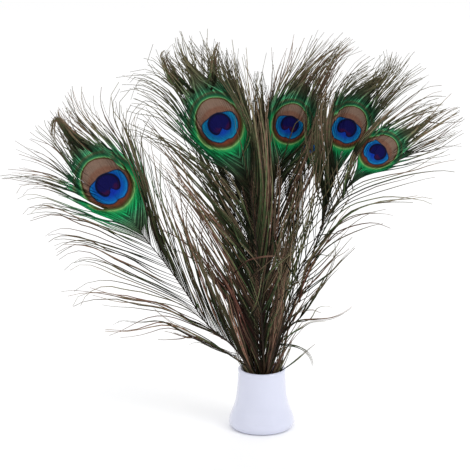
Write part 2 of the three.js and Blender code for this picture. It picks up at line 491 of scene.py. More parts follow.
@dataclass(frozen=True)
class BarbFinish:
    """Barbs on one side of a feather. The coloured side shows the eye, the other a dull colour with its loose
    barbs darkened as painted shade.
    """

    name: str
    shows_eye: bool
    roughness: float = 0.55

    def build(self, effects: Effects) -> bpy.types.Material:
        """Make the material.

        Args:
            effects: The shared shader groups.

        Returns:
            The material.
        """
        made, w, shader = material(self.name)
        eye = w.node("ShaderNodeGroup", node_tree=effects.eye)
        tone = w.node("ShaderNodeGroup", node_tree=effects.tone)
        grain = w.node("ShaderNodeGroup", node_tree=effects.grain)
        loose = tone.outputs["Colour"]
        calm = eye.outputs["Calm"]
        mask = w.math("MULTIPLY", eye.outputs["Mask"], w.own_value("eyed"))
        if self.shows_eye:
            # Outside the pale ring the eye's colours take each barb's painted light and shade.
            lit = w.math("ADD", calm, w.math("MULTIPLY", w.own_value("shade"), w.math("SUBTRACT", 1.0, calm)))
            base = w.mix(mask, loose, w.scaled(eye.outputs["Colour"], lit))
        else:
            dull = w.mix(0.72, eye.outputs["Colour"], colour("4a3f30"))
            # The dull side's loose barbs are darkened to 0.7 as painted shade.
            base = w.mix(w.math("MULTIPLY", mask, 0.8), w.scaled(loose, 0.7), dull)
        # Brightness beads along each barb: partly tone varying along it, partly painted glints of the barbs'
        # sheen; calmer inside the pale ring.
        streak = w.noise(w.stretched(w.own_map(BARB_MAP), (1.5, 26.0, 1.0)), 1.0, 2.0)
        contrast = w.math("SUBTRACT", 2.2, w.math("MULTIPLY", calm, 1.6))
        swing = w.math("MULTIPLY", w.math("SUBTRACT", streak, 0.5), contrast)
        base = w.scaled(base, w.math("MAXIMUM", w.math("ADD", 1.0, swing), 0.25))
        # The gaps between barbules are darkened as painted shade.
        base = w.scaled(base, w.math("SUBTRACT", 1.0, w.math("MULTIPLY", grain.outputs["Gap"], 0.22)))
        w.feed(shader.inputs["Base Color"], base)
        shader.inputs["Roughness"].default_value = self.roughness
        shader.inputs["Specular IOR Level"].default_value = 0.06
        ribs = w.node("ShaderNodeBump")
        ribs.inputs["Strength"].default_value = 0.25
        ribs.inputs["Distance"].default_value = 0.05 * MM
        w.feed(ribs.inputs["Height"], grain.outputs["Height"])
        w.feed(shader.inputs["Normal"], ribs.outputs["Normal"])
        return made


@dataclass(frozen=True)
class ShaftFinish:
    """The horny shaft: pale and clear at the cut end, dark brown higher up."""

    def build(self) -> bpy.types.Material:
        """Make the material."""
        made, w, shader = material("shaft_horn")
        rise = w.own_value("along")
        grain = w.noise(w.stretched(w.own_map(BARB_MAP), (8.0, 3.0, 1.0)), 6.0, 3.0)
        horn = w.ramp(w.ease(rise, 0.04, 0.30), [(0.0, "b8a888"), (0.4, "4a3a28"), (1.0, "241b14")])
        lightness = w.math("ADD", 0.7, w.math("MULTIPLY", grain, 0.6))
        w.feed(shader.inputs["Base Color"], w.scaled(horn, lightness))
        w.feed(shader.inputs["Roughness"], w.math("ADD", 0.42, w.math("MULTIPLY", grain, 0.2)))
        shader.inputs["Specular IOR Level"].default_value = 0.15
        return made


@dataclass(frozen=True)
class GlazeFinish:
    """Glossy white glaze with a faint blue cast, slightly uneven as fired glaze is."""

    def build(self) -> bpy.types.Material:
        """Make the material."""
        made, w, shader = material("white_glaze")
        cloud = w.noise(w.place(), 35.0, 2.0)
        w.feed(shader.inputs["Base Color"], w.mix(cloud, colour("d2d5e6"), colour("cdd0e2")))
        ripple = w.noise(w.place(), 90.0, 2.0)
        w.feed(shader.inputs["Roughness"], w.math("ADD", 0.14, w.math("MULTIPLY", ripple, 0.10)))
        shader.inputs["Coat Weight"].default_value = 0.5
        shader.inputs["Coat Roughness"].default_value = 0.08
        skin = w.node("ShaderNodeBump")
        skin.inputs["Strength"].default_value = 0.12
        skin.inputs["Distance"].default_value = 0.4 * MM
        w.feed(skin.inputs["Height"], w.noise(w.place(), 60.0, 2.0))
        w.feed(shader.inputs["Normal"], skin.outputs["Normal"])
        return made


@dataclass(frozen=True)
class FloorFinish:
    """The plain pale floor."""

    def build(self) -> bpy.types.Material:
        """Make the material."""
        made, _, shader = material("pale_floor")
        shader.inputs["Base Color"].default_value = (0.97, 0.97, 0.975, 1.0)
        shader.inputs["Roughness"].default_value = 0.6
        return made


# ---- Mesh helpers ---------------------------------------------------------------------------


def add_piece(
    mesh: bpy.types.Mesh, materials: list[bpy.types.Material], node: str
) -> bpy.types.Object:
    """Put a finished mesh in the scene as a piece of the object.

    Args:
        mesh: The mesh, in the frame's metres.
        materials: Its materials, in the order of its faces' indices.
        node: The frame's node that it stands for.

    Returns:
        The new object.
    """
    for finish in materials:
        mesh.materials.append(finish)
    piece = bpy.data.objects.new(mesh.name, mesh)
    bpy.context.scene.collection.objects.link(piece)
    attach(piece, BODY)
    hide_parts(node)
    LOG.info("%s: %d faces", piece.name, len(mesh.polygons))
    return piece


def smooth_line(points: list[tuple[float, float]], count: int = 300) -> np.ndarray:
    """A smooth line through points of a plane, the same curve as the frame's solids follow.

    Args:
        points: The points, as across and up.
        count: How many points to return, evenly spaced by length.

    Returns:
        An array of count points.
    """
    given = np.array(points, float)
    padded = np.vstack([2 * given[0] - given[1], given, 2 * given[-1] - given[-2]])
    fine = []
    for p0, p1, p2, p3 in zip(padded, padded[1:], padded[2:], padded[3:]):
        spans = ((p0, p1), (p1, p2), (p2, p3))
        knots = np.cumsum([0.0] + [math.sqrt(np.linalg.norm(b - a)) for a, b in spans])
        t = np.linspace(knots[1], knots[2], SPAN_STEPS, endpoint=False)[:, None]

        def between(a: object, b: object, low: float, high: float) -> np.ndarray:
            """The point between two others at each t."""
            return (high - t) / (high - low) * a + (t - low) / (high - low) * b

        a1, a2, a3 = (between(*span, knots[i], knots[i + 1]) for i, span in enumerate(spans))
        b1, b2 = between(a1, a2, knots[0], knots[2]), between(a2, a3, knots[1], knots[3])
        fine.append(between(b1, b2, knots[1], knots[2]))
    line = np.vstack([*fine, given[-1:]])
    run = np.concatenate([[0], np.cumsum(np.linalg.norm(np.diff(line, axis=0), axis=1))])
    even = np.linspace(0, run[-1], count)
    return np.stack([np.interp(even, run, line[:, i]) for i in range(2)], axis=1)


def read_line(line: np.ndarray, share: np.ndarray) -> np.ndarray:
    """Points of a line at shares of its length.

    Args:
        line: Evenly spaced points.
        share: Shares from 0 to 1.

    Returns:
        A point for each share.
    """
    place = np.clip(share, 0, 1) * (len(line) - 1)
    numbers = np.arange(len(line))
    return np.stack([np.interp(place, numbers, column) for column in line.T], axis=-1)


def unit(vectors: np.ndarray) -> np.ndarray:
    """Vectors of length 1 along the last axis."""
    return vectors / np.maximum(np.linalg.norm(vectors, axis=-1, keepdims=True), 1e-9)


def smooth_step(value: np.ndarray, low: float, high: float) -> np.ndarray:
    """A smooth step from 0 at low to 1 at high."""
    t = np.clip((value - low) / (high - low), 0, 1)
    return t * t * (3 - 2 * t)


# ---- Feathers -------------------------------------------------------------------------------


SeenLine = tuple[tuple[int, int], ...]


def seen(*points: tuple[int, int]) -> SeenLine:
    """A line as it is seen from the front: points across and down in the front view."""
    return points


@dataclass(frozen=True)
class View:
    """A place to look at the bunch from, with a square pane of what is seen there.

    Attributes:
        aim: What its middle looks at, in millimetres.
        distance: How far from there it stands, in millimetres.
        lift: How far up it stands, in degrees.
        edge: How many points the pane has along each edge.
        focal: How far the pane lies from its eye, in points.
    """

    aim: tuple[float, float, float]
    distance: float
    lift: float
    edge: int
    focal: float

    def ways(self) -> tuple[np.ndarray, np.ndarray, np.ndarray]:
        """The ways across, up and into the pane."""
        lift = math.radians(self.lift)
        up = np.array([0.0, math.sin(lift), math.cos(lift)])
        into = np.array([0.0, math.cos(lift), -math.sin(lift)])
        return np.array([1.0, 0.0, 0.0]), up, into

    def place(self) -> np.ndarray:
        """Where its eye stands, in millimetres."""
        return np.array(self.aim) - self.distance * self.ways()[2]

    def ray(self, point: tuple[int, int]) -> np.ndarray:
        """The way from its eye through a point across and down in the pane."""
        across, up, into = self.ways()
        right, rise = point[0] - self.edge / 2, self.edge / 2 - point[1]
        return into + (across * right + up * rise) / self.focal


FRONT_VIEW = View(aim=(-21.8, 0.0, 161.8), distance=1500.0, lift=15.0, edge=470, focal=1875.0)


@dataclass(frozen=True)
class FeatherPlane:
    """The plane that a feather lies in, as the frame's solids have it.

    Attributes:
        offset: Where it meets the ground behind the origin, in millimetres.
        lean: How far it tips to the front, in degrees.
        turn: How far it swings about the vertical, in degrees.
    """

    offset: float
    lean: float
    turn: float

    def read(self, seen_point: tuple[int, int]) -> np.ndarray:
        """Find the point of the plane that lies behind a point of the front view.

        Args:
            seen_point: Across from the view's left edge and down from its top edge.

        Returns:
            Across and up in the plane, in millimetres.
        """
        turn, lean = math.radians(self.turn), math.radians(self.lean)
        across = np.array([math.cos(turn), math.sin(turn), 0.0])
        up = np.array([math.sin(lean) * math.sin(turn), -math.sin(lean) * math.cos(turn), math.cos(lean)])
        out = np.cross(across, up)
        foot = np.array([0.0, self.offset, 0.0])
        ray = FRONT_VIEW.ray(seen_point)
        hit = FRONT_VIEW.place() + ray * ((foot - FRONT_VIEW.place()) @ out) / (ray @ out) - foot
        return np.array([hit @ across, hit @ up])

    def place(self, points: np.ndarray) -> np.ndarray:
        """Place points of the plane in the frame.

        Args:
            points: Across, up and out, in millimetres.

        Returns:
            The points in the frame, in metres.
        """
        turn = Matrix.Rotation(math.radians(self.turn), 3, "Z")
        stand = Matrix.Rotation(math.radians(90 + self.lean), 3, "X")
        return (points @ np.array(turn @ stand).T + (0, self.offset, 0)) * MM


@dataclass(frozen=True)
class Plumage:
    """How a feather's barbs grow.

    Attributes:
        left: Millimetres between loose barbs on the left, halfway along them, low down
            and by the eye.
        right: The same on the right.
        ruddy: Share of the locks that are red-brown.
        green: How far the barbs by the eye turn green.
        crowd: Where along the shaft the low spacing starts and ends its change to the other.
        ends: Share of the closed vane's barbs that end at its edge.
    """

    left: tuple[float, float]
    right: tuple[float, float]
    ruddy: float = 0.2
    green: float = 0.7
    crowd: tuple[float, float] = (0.6, 0.85)
    ends: float = 0.14


@dataclass(frozen=True)
class EyePlace:
    """Where a feather's eye spot lies.

    Attributes:
        middle: The middle of its blue disc.
        tilt: How far its tip end turns to the left, in degrees.
        disc: The disc's radius in millimetres.
        teal: How far the disc's blue goes to teal.
        base: How far the closed vane runs down the shaft, in disc radii.
    """

    middle: tuple[float, float]
    tilt: float
    disc: float
    teal: float
    base: float

    # Half the closed vane's width in disc radii, at places from its base at -1 past the
    # disc's middle at 0, and from there up in disc radii.
    VANE_PLACES = (-1.0, -0.76, -0.47, -0.18, 0.4, 1.3, 2.1, 3.0, 4.4)
    VANE_WIDTHS = (0.06, 0.50, 1.20, 1.65, 1.75, 1.50, 0.90, 0.36, 0.08)

    def ways(self) -> tuple[np.ndarray, np.ndarray]:
        """The ways across and up the eye."""
        turn = math.radians(self.tilt)
        return np.array([math.cos(turn), math.sin(turn)]), np.array([-math.sin(turn), math.cos(turn)])

    def reading(self, points: np.ndarray) -> np.ndarray:
        """Read points in the eye's own coordinates, in disc radii.

        Args:
            points: Points whose first two numbers are across and up in the plane.

        Returns:
            Across and up from the disc's middle.
        """
        across, up = self.ways()
        away = points[..., :2] - self.middle
        return np.stack([away @ across, away @ up], axis=-1) / self.disc

    def cover(self, points: np.ndarray) -> np.ndarray:
        """How far the closed vane holds points: 1 inside it and 0 outside."""
        reading = self.reading(points)
        place = reading[..., 1] / np.where(reading[..., 1] < 0, self.base, 1.0)
        width = np.interp(place, self.VANE_PLACES, self.VANE_WIDTHS, left=0.02, right=0.02)
        return 1 - smooth_step(np.abs(reading[..., 0]) / width, 0.85, 1.2)


@dataclass(frozen=True)
class Guide:
    """A barb that the ones beside it follow.

    Attributes:
        share: Where it leaves the shaft, as a share of the shaft's length.
        path: The points that it runs through, the last its tip.
    """

    share: float
    path: tuple[tuple[float, float], ...]


@dataclass(frozen=True)
class Stray:
    """A thin lock that has come loose and crosses the others.

    Attributes:
        barbs: How many barbs it has.
        tint: Its place on the loose barbs' range of colours.
        path: The points that it is seen to run through, from its root to its tip.
    """

    barbs: int
    tint: float
    path: SeenLine


@dataclass(frozen=True)
class Strands:
    """A set of barbs before they have any thickness.

    Attributes:
        flat: Across and up in the plane, for every station of every barb.
        out: How far each station stands out of the plane.
        width: The barb's width at each station.
        tint: Each barb's place on the range of colours.
        shade: How light each barb is drawn: lit barbs as painted highlight, the rest as painted shade, partly
            also tone that differs from barb to barb.
        eyed: 1 for a barb that grows in the closed vane and takes the eye's colours, else 0.
    """

    flat: np.ndarray
    out: np.ndarray
    width: np.ndarray
    tint: np.ndarray
    shade: np.ndarray
    eyed: np.ndarray


@dataclass(frozen=True)
class Feather:
    """One feather: its cut end, shaft, eye and guide barbs, in its plane.

    Attributes:
        name: The frame's node that it stands for.
        plane: Its plane.
        foot: Where its cut end stands in the vase, across.
        shaft: The shaft's points from the vase's mouth to the eye.
        eye: Where its eye spot lies.
        left: The left guide barbs from the lowest up, each as it is seen from where it
            leaves the shaft to its tip.
        right: The same on the right.
        strays: Locks that have come loose.
        plumage: How its barbs grow.
        facing: The way that its eye looks.
        seed: Start of its random draws.
    """

    name: str
    plane: FeatherPlane
    foot: float
    shaft: tuple[tuple[float, float], ...]
    eye: EyePlace
    left: tuple[SeenLine, ...]
    right: tuple[SeenLine, ...]
    plumage: Plumage
    seed: int
    strays: tuple[Stray, ...] = ()
    facing: Facing = Facing.FRONT

    FOOT_HEIGHT = 5.0
    QUILL_RADIUS = 1.25
    SHAFT_TIP_RADIUS = 0.28
    SHAFT_STEPS = 60
    SHAFT_SIDES = 10
    STATIONS = 15
    VANE_PITCH = 0.85
    LOOSE_WIDTH = 0.92
    FRINGE_WIDTH = 0.74
    TIP_WIDTH = 0.36
    # The share of barbs that cross their neighbours, and how far they swing.
    CROSSING = 0.36
    CROSSING_SWING = 0.055
    BARB_VALUES = ("tint", "shade", "eyed")

    # How finely the shaft is searched for a guide's root, and the least and the usual
    # step from one root to the next, as shares of the shaft.
    ROOT_READINGS = 600
    LEAST_RISE = 0.004
    USUAL_RISE = 0.012

    # Near the vase's mouth barbs grow further apart and keep closer to their guides.
    MOUTH_BAND = (0.1, 0.45)
    MOUTH_THINNING = 0.7
    MOUTH_FREEDOM = 0.3
    ROOT_STATIONS = 6
    ROOT_SHAKE = 0.35
    CREST_STEP = 0.5

    # The tint of the barbs, where along the shaft they turn green, and their painted light: a share lit as
    # painted highlight, the rest darkened as painted shade.
    GREEN_TINT = 0.42
    GREEN_BAND = (0.38, 0.7)
    LIT_SHARE = 0.29
    LIT = (1.6, 3.5)
    UNLIT = (0.2, 0.85)

    def line(self) -> np.ndarray:
        """The shaft's middle line."""
        return smooth_line([(self.foot, self.FOOT_HEIGHT), *self.shaft])

    def read_seen(self, line: SeenLine) -> list[tuple[int, int]]:
        """Read a seen line into the plane, to the nearest millimetre."""
        return [(round(float(across)), round(float(up))) for across, up in map(self.plane.read, line)]

    def guides(self, side: tuple[SeenLine, ...]) -> tuple[Guide, ...]:
        """Read one side's guide barbs.

        Args:
            side: The side's guide barbs as they are seen.

        Returns:
            Each as it leaves the shaft at its nearest point, above the one before it.
        """
        shaft = smooth_line([(self.foot, self.FOOT_HEIGHT), *self.shaft], self.ROOT_READINGS)
        guides = []
        below = -1.0
        for seen_line in side:
            away = np.linalg.norm(shaft - self.plane.read(seen_line[0]), axis=1)
            share = float(np.argmin(away)) / (self.ROOT_READINGS - 1)
            if share <= below + self.LEAST_RISE:
                share = min(1.0, below + self.USUAL_RISE)
            guides.append(Guide(round(share, 3), tuple(self.read_seen(seen_line[1:]))))
            below = share
        return tuple(guides)

    def guide_lines(self, guides: tuple[Guide, ...]) -> np.ndarray:
        """The guide barbs as lines of stations."""
        roots = read_line(self.line(), np.array([guide.share for guide in guides]))
        return np.array([
            smooth_line([tuple(root), *guide.path], self.STATIONS) for root, guide in zip(roots, guides)
        ])

    def grow(
        self, guides: tuple[Guide, ...], spacing: tuple[float, float], rng: np.random.Generator
    ) -> Strands:
        """Grow one side's barbs between its guides.

        Args:
            guides: The side's guide barbs.
            spacing: Millimetres between loose barbs, low down and by the eye.
            rng: Source of the random draws.

        Returns:
            The side's barbs.
        """
        lines = self.guide_lines(guides)
        cover = self.eye.cover(lines)
        parts, shares, rooted = [], [], []
        pairs = zip(guides, guides[1:], lines, lines[1:], cover, cover[1:])
        for low, high, low_line, high_line, low_cover, high_cover in pairs:
            gap = np.linalg.norm(high_line - low_line, axis=1)
            inner = slice(self.ROOT_STATIONS)
            in_vane = bool(max(low_cover[inner].max(), high_cover[inner].max()) > 0.5)
            closed = in_vane * np.max(gap * np.minimum(low_cover, high_cover)) / self.VANE_PITCH
            rise = float(smooth_step(np.array((low.share + high.share) / 2), *self.plumage.crowd))
            sparse = 1 - float(smooth_step(np.array(high.share), *self.MOUTH_BAND))
            low_spacing = spacing[0] * (1 + self.MOUTH_THINNING * sparse)
            loose = gap[self.STATIONS // 2] / (low_spacing + (spacing[1] - low_spacing) * rise)
            count = int(np.ceil(max(closed, loose, 1)))
            shake = rng.uniform(-self.ROOT_SHAKE, self.ROOT_SHAKE, count)
            step = (np.arange(count) + shake * (closed < loose)) / count
            step = np.clip(step, 0, 1)[:, None, None]
            parts.append(low_line * (1 - step) + high_line * step)
            shares.append(low.share + (high.share - low.share) * step[:, 0, 0])
            rooted.append(np.full(count, float(in_vane)))
        parts.append(lines[-1:])
        shares.append(np.array([guides[-1].share]))
        rooted.append(rooted[-1][:1])
        flat = np.concatenate(parts)
        share, eyed = np.concatenate(shares), np.concatenate(rooted)
        count = len(flat)
        t = np.linspace(0, 1, self.STATIONS)[None, :]
        flat = flat + (read_line(self.line(), share)[:, None] - flat[:, :1]) * ((1 - t) ** 3)[..., None]

        # Inside the closed vane barbs lie side by side. Beyond it they gather in locks.
        cover = self.eye.cover(flat) * eyed[:, None]
        free = np.maximum.accumulate((1 - cover) * smooth_step(t, 0.12, 0.5), axis=1)
        held_low = self.MOUTH_FREEDOM + (1 - self.MOUTH_FREEDOM) * smooth_step(share, 0.05, 0.3)
        free = free * held_low[:, None]
        starts = np.cumsum(rng.integers(2, 9, count))
        lock = np.searchsorted(starts, np.arange(count))
        heart = np.array([np.flatnonzero(lock == i)[np.sum(lock == i) // 2] for i in range(lock[-1] + 1)])
        locks = len(heart)
        pull = (rng.uniform(0.05, 0.9, locks)[lock][:, None] * free * smooth_step(t, 0.35, 1.0))[..., None]
        length = np.sum(np.linalg.norm(np.diff(flat, axis=1), axis=2), axis=1)[:, None]
        drift = rng.normal(0, 1, (locks, 2))[lock][:, None] * (0.024 * length * t**2 * free)[..., None]
        shiver = rng.normal(0, 1, (count, 2))[:, None] * (0.014 * length * t**1.5 * free)[..., None]
        stray = rng.normal(0, 1, (count, 1)) * (rng.random((count, 1)) < self.CROSSING) * self.CROSSING_SWING
        flat = flat + (flat[heart[lock]] - flat) * pull + drift + shiver

        side = unit(np.gradient(flat, axis=1))[..., ::-1] * (1, -1)
        phase = rng.uniform(0, math.tau, (2, count, 1))
        pace = rng.uniform(1.0, 3.2, (count, 1)) * length / 60
        ripple = np.sin(t * pace * 4 + phase[0]) * 0.55 + np.sin(t * pace * 9 + phase[1]) * 0.16
        hook = rng.normal(0, 1, (count, 1)) * smooth_step(t, 0.6, 1.0) ** 2 * length * 0.035
        flat = flat + side * ((ripple * t**0.5 + hook + stray * length * t) * free)[..., None]
        # Some barbs of the closed vane end at its edge, and a few loose ones are broken short.
        held = cover > 0.5
        last_held = self.STATIONS - np.argmax(held[:, ::-1], axis=1)
        edge = np.where(held.any(axis=1), last_held, self.STATIONS) / self.STATIONS
        ends = rng.random(count) < self.plumage.ends
        trim = np.where(ends, edge + rng.uniform(0.02, 0.16, count), 1 - rng.beta(1.0, 7.0, count) * 0.5)
        flat = self._cut(flat, np.clip(trim, 0, 1)[:, None])

        curl = np.clip(rng.normal(0, 1, locks), -2, 2)[lock][:, None] * 5.0 * (length / 80) * t**2 * free
        lift = np.clip(rng.normal(0, 1, (count, 1)), -2, 2) * (0.05 + 2.2 * free * (length / 80)) * t**0.7
        bow = -0.10 * self.eye.disc * np.minimum(self.eye.reading(flat)[..., 0] ** 2, 4) * cover
        near = np.linalg.norm(np.gradient(flat, axis=0), axis=-1)
        calm = 1 - smooth_step(np.linalg.norm(self.eye.reading(flat), axis=-1), 1.5, 2.1)
        vane_width = np.clip(near * (1.35 + 0.55 * calm), 0.35, 1.5)
        full = np.where(held.any(axis=1), self.FRINGE_WIDTH, self.LOOSE_WIDTH)[:, None]
        loose_width = full * (0.5 + 0.5 * smooth_step(t, 0, 0.3))
        width = loose_width + (vane_width - loose_width) * self.eye.cover(flat) * eyed[:, None]
        taper = 1 - smooth_step(t, 0.6, 1.0) * (1 - self.TIP_WIDTH / self.LOOSE_WIDTH)
        width = width * taper * rng.uniform(0.75, 1.2, (count, 1))

        ruddy = rng.random(locks) < self.plumage.ruddy
        tint = np.where(ruddy, rng.uniform(0.7, 1.0, locks), rng.uniform(0.05, 0.65, locks))[lock]
        tint = np.clip(tint * 0.6 + rng.uniform(0.0, 0.75, count) * 0.4 + rng.normal(0, 0.1, count), 0, 1)
        tint = tint + (self.GREEN_TINT - tint) * self.plumage.green * smooth_step(share, *self.GREEN_BAND)
        return Strands(flat, curl + lift + bow, width, tint, self._shades(count, rng), eyed)

    @staticmethod
    def _cut(flat: np.ndarray, trim: np.ndarray) -> np.ndarray:
        """Shorten each barb to its share of its length, with its stations spread evenly."""
        count, stations = flat.shape[:2]
        place = np.linspace(0, 1, stations)[None, :] * trim * (stations - 1)
        low = np.clip(place.astype(int), 0, stations - 2)
        rest = (place - low)[..., None]
        row = np.arange(count)[:, None]
        return flat[row, low] * (1 - rest) + flat[row, low + 1] * rest

    def loosen(self, stray: Stray, rng: np.random.Generator) -> Strands:
        """Spread a stray lock into its barbs.

        Args:
            stray: The lock.
            rng: Source of the random draws.

        Returns:
            Its barbs.
        """
        t = np.linspace(0, 1, self.STATIONS)[None, :]
        middle = smooth_line(self.read_seen(stray.path), self.STATIONS)[None]
        side = unit(np.gradient(middle, axis=1))[..., ::-1] * (1, -1)
        phase = rng.uniform(0, math.tau, (stray.barbs, 1))
        belly = rng.normal(0, 0.8, (stray.barbs, 1)) * np.sin(t * math.pi * 0.8 + 0.2)
        spread = belly + 0.4 * np.sin(t * 7 + phase)
        flat = self._cut(middle + side * spread[..., None], 1 - rng.uniform(0, 0.12, (stray.barbs, 1)))
        out = rng.uniform(2.0, 6.0, (stray.barbs, 1)) * np.sin(t * math.pi * 0.9) * self.facing.value
        width = self.LOOSE_WIDTH * 0.9 * (1 - smooth_step(t, 0.4, 1.0) * 0.75) + np.zeros_like(out)
        tint = np.clip(stray.tint + rng.normal(0, 0.05, stray.barbs), 0, 1)
        return Strands(flat, out, width, tint, self._shades(stray.barbs, rng), np.zeros(stray.barbs))

    @staticmethod
    def _shades(count: int, rng: np.random.Generator) -> np.ndarray:
        """How light or dark each barb is drawn beside the others: lit ones as painted highlight, the rest as
        painted shade, partly also tone that differs from barb to barb.
        """
        lit = rng.random(count) < Feather.LIT_SHARE
        return np.where(lit, rng.uniform(*Feather.LIT, count), rng.uniform(*Feather.UNLIT, count))

    def barb_arrays(self) -> dict[str, np.ndarray]:
        """Turn every barb into a closed tapering ribbon.

        Returns:
            vertices in the frame, faces, and for each vertex its eye reading, its place
            across and along the barb and its tint; for each face its material index.
        """
        rng = np.random.default_rng(self.seed)
        left_guides = self.guides(self.left)
        top = left_guides[-1]
        crest = Guide(top.share, tuple((across + self.CREST_STEP, up) for across, up in top.path))
        sets = [
            self.grow(left_guides, self.plumage.left, rng),
            self.grow((*self.guides(self.right), crest), self.plumage.right, rng),
            *(self.loosen(stray, rng) for stray in self.strays),
        ]
        flat, out, width = (
            np.concatenate([getattr(one, name) for one in sets]) for name in ("flat", "out", "width")
        )
        path = np.concatenate([flat, out[..., None]], axis=-1)
        count, stations = path.shape[:2]
        tangent = unit(np.gradient(path, axis=1))
        right = unit(np.cross(tangent, np.array([0.0, 0.0, 1.0])))
        normal = unit(np.cross(right, tangent))
        half = width[..., None] / 2
        depth = half * (0.45 - 0.27 * self.eye.cover(flat)[..., None])
        corners = [path - right * half, path + normal * depth, path + right * half, path - normal * depth]
        ring = np.stack(corners, axis=2)
        vertices = self.plane.place(ring.reshape(-1, 3))

        corner = np.arange(4)
        base = (np.arange(count)[:, None, None] * stations + np.arange(stations - 1)[None, :, None]) * 4
        after = (corner + 1) % 4
        quads = np.stack([base + corner, base + after, base + 4 + after, base + 4 + corner], axis=-1)
        first = np.arange(count)[:, None] * stations * 4
        last = first + (stations - 1) * 4
        faces = np.concatenate([quads.reshape(-1, 4), first + corner[::-1], last + corner])
        front_slot, back_slot = (0, 1) if self.facing is Facing.FRONT else (1, 0)
        strip = np.broadcast_to(np.array([front_slot, front_slot, back_slot, back_slot]), quads.shape[:3])
        slots = np.concatenate([strip.ravel(), np.full(2 * count, front_slot)])

        across = np.broadcast_to(np.array([-1.0, 0.0, 1.0, 0.0]), (count, stations, 4))
        along = np.broadcast_to(np.linspace(0, 1, stations)[None, :, None], (count, stations, 4))
        values = {
            name: np.repeat(np.concatenate([getattr(one, name) for one in sets]), stations * 4)
            for name in self.BARB_VALUES
        }
        return {
            "vertices": vertices,
            "faces": faces,
            "slots": slots,
            "eye": self.eye.reading(ring).reshape(-1, 2),
            "barb": np.stack([across, along + np.arange(count)[:, None, None]], axis=-1).reshape(-1, 2),
            "along": along.ravel(),
            **values,
        }

    def build_barbs(self, finishes: list[bpy.types.Material]) -> bpy.types.Object:
        """Build the barbs as one piece.

        Args:
            finishes: The coloured side's material and the dull side's.

        Returns:
            The barbs' object.
        """
        arrays = self.barb_arrays()
        mesh = bpy.data.meshes.new(f"{self.name}_barbs")
        vertices, faces = arrays["vertices"], arrays["faces"]
        mesh.vertices.add(len(vertices))
        mesh.vertices.foreach_set("co", vertices.ravel())
        mesh.loops.add(faces.size)
        mesh.loops.foreach_set("vertex_index", faces.ravel())
        mesh.polygons.add(len(faces))
        mesh.polygons.foreach_set("loop_start", np.arange(0, faces.size, 4))
        mesh.polygons.foreach_set("material_index", arrays["slots"])
        mesh.update(calc_edges=True)
        mesh.polygons.foreach_set("use_smooth", np.ones(len(faces), bool))
        for name, values in ((EYE_MAP, arrays["eye"]), (BARB_MAP, arrays["barb"])):
            mesh.uv_layers.new(name=name).data.foreach_set("uv", values[faces.ravel()].ravel())
        for name in ("along", *self.BARB_VALUES):
            mesh.attributes.new(name, "FLOAT", "POINT").data.foreach_set("value", arrays[name])
        teal = mesh.attributes.new("teal", "FLOAT", "POINT")
        teal.data.foreach_set("value", np.full(len(vertices), self.eye.teal))
        return add_piece(mesh, finishes, self.name)

    def build_shaft(self, finish: bpy.types.Material) -> bpy.types.Object:
        """Build the shaft, a rounded rod drawn up along its line.

        Args:
            finish: The shaft's material.

        Returns:
            The shaft's object.
        """
        steps = read_line(self.line(), np.linspace(0, 1, self.SHAFT_STEPS))
        headings = unit(np.gradient(steps, axis=0))
        bm = bmesh.new()
        rise = bm.verts.layers.float.new("along")
        below: list[bmesh.types.BMEdge] = []
        for i, (middle, heading) in enumerate(zip(steps, headings)):
            share = i / (self.SHAFT_STEPS - 1)
            radius = self.QUILL_RADIUS + (self.SHAFT_TIP_RADIUS - self.QUILL_RADIUS) * share**0.45
            sunk = -0.7 * self.facing.value * float(smooth_step(np.array(share), 0.72, 0.92))
            stand = Matrix(((heading[1], 0, -heading[0]), (-heading[0], 0, -heading[1]), (0, 1, 0))).to_4x4()
            ring = bmesh.ops.create_circle(
                bm, cap_ends=i in (0, self.SHAFT_STEPS - 1), segments=self.SHAFT_SIDES, radius=radius,
                matrix=Matrix.Translation((*middle, sunk)) @ stand,
            )["verts"]
            for vertex in ring:
                vertex[rise] = share
            edges = list({edge for vertex in ring for edge in vertex.link_edges})
            if below:
                bmesh.ops.bridge_loops(bm, edges=[*below, *edges])
            below = edges
        bmesh.ops.recalc_face_normals(bm, faces=bm.faces)
        mesh = bpy.data.meshes.new(f"{self.name}_shaft")
        bm.to_mesh(mesh)
        bm.free()
        return self._finish_shaft(mesh, finish)

    def _finish_shaft(self, mesh: bpy.types.Mesh, finish: bpy.types.Material) -> bpy.types.Object:
        """Map the shaft, place it in the frame and dress it."""
        flat = np.empty(len(mesh.vertices) * 3)
        mesh.vertices.foreach_get("co", flat)
        flat = flat.reshape(-1, 3)
        loops = np.empty(len(mesh.loops), int)
        mesh.loops.foreach_get("vertex_index", loops)
        reading = np.stack([flat[:, 2], flat[:, 1] / 50], axis=1)
        mesh.uv_layers.new(name=BARB_MAP).data.foreach_set("uv", reading[loops].ravel())
        mesh.vertices.foreach_set("co", self.plane.place(flat).ravel())
        mesh.polygons.foreach_set("use_smooth", np.ones(len(mesh.polygons), bool))
        mesh.update()
        return add_piece(mesh, [finish], self.name)


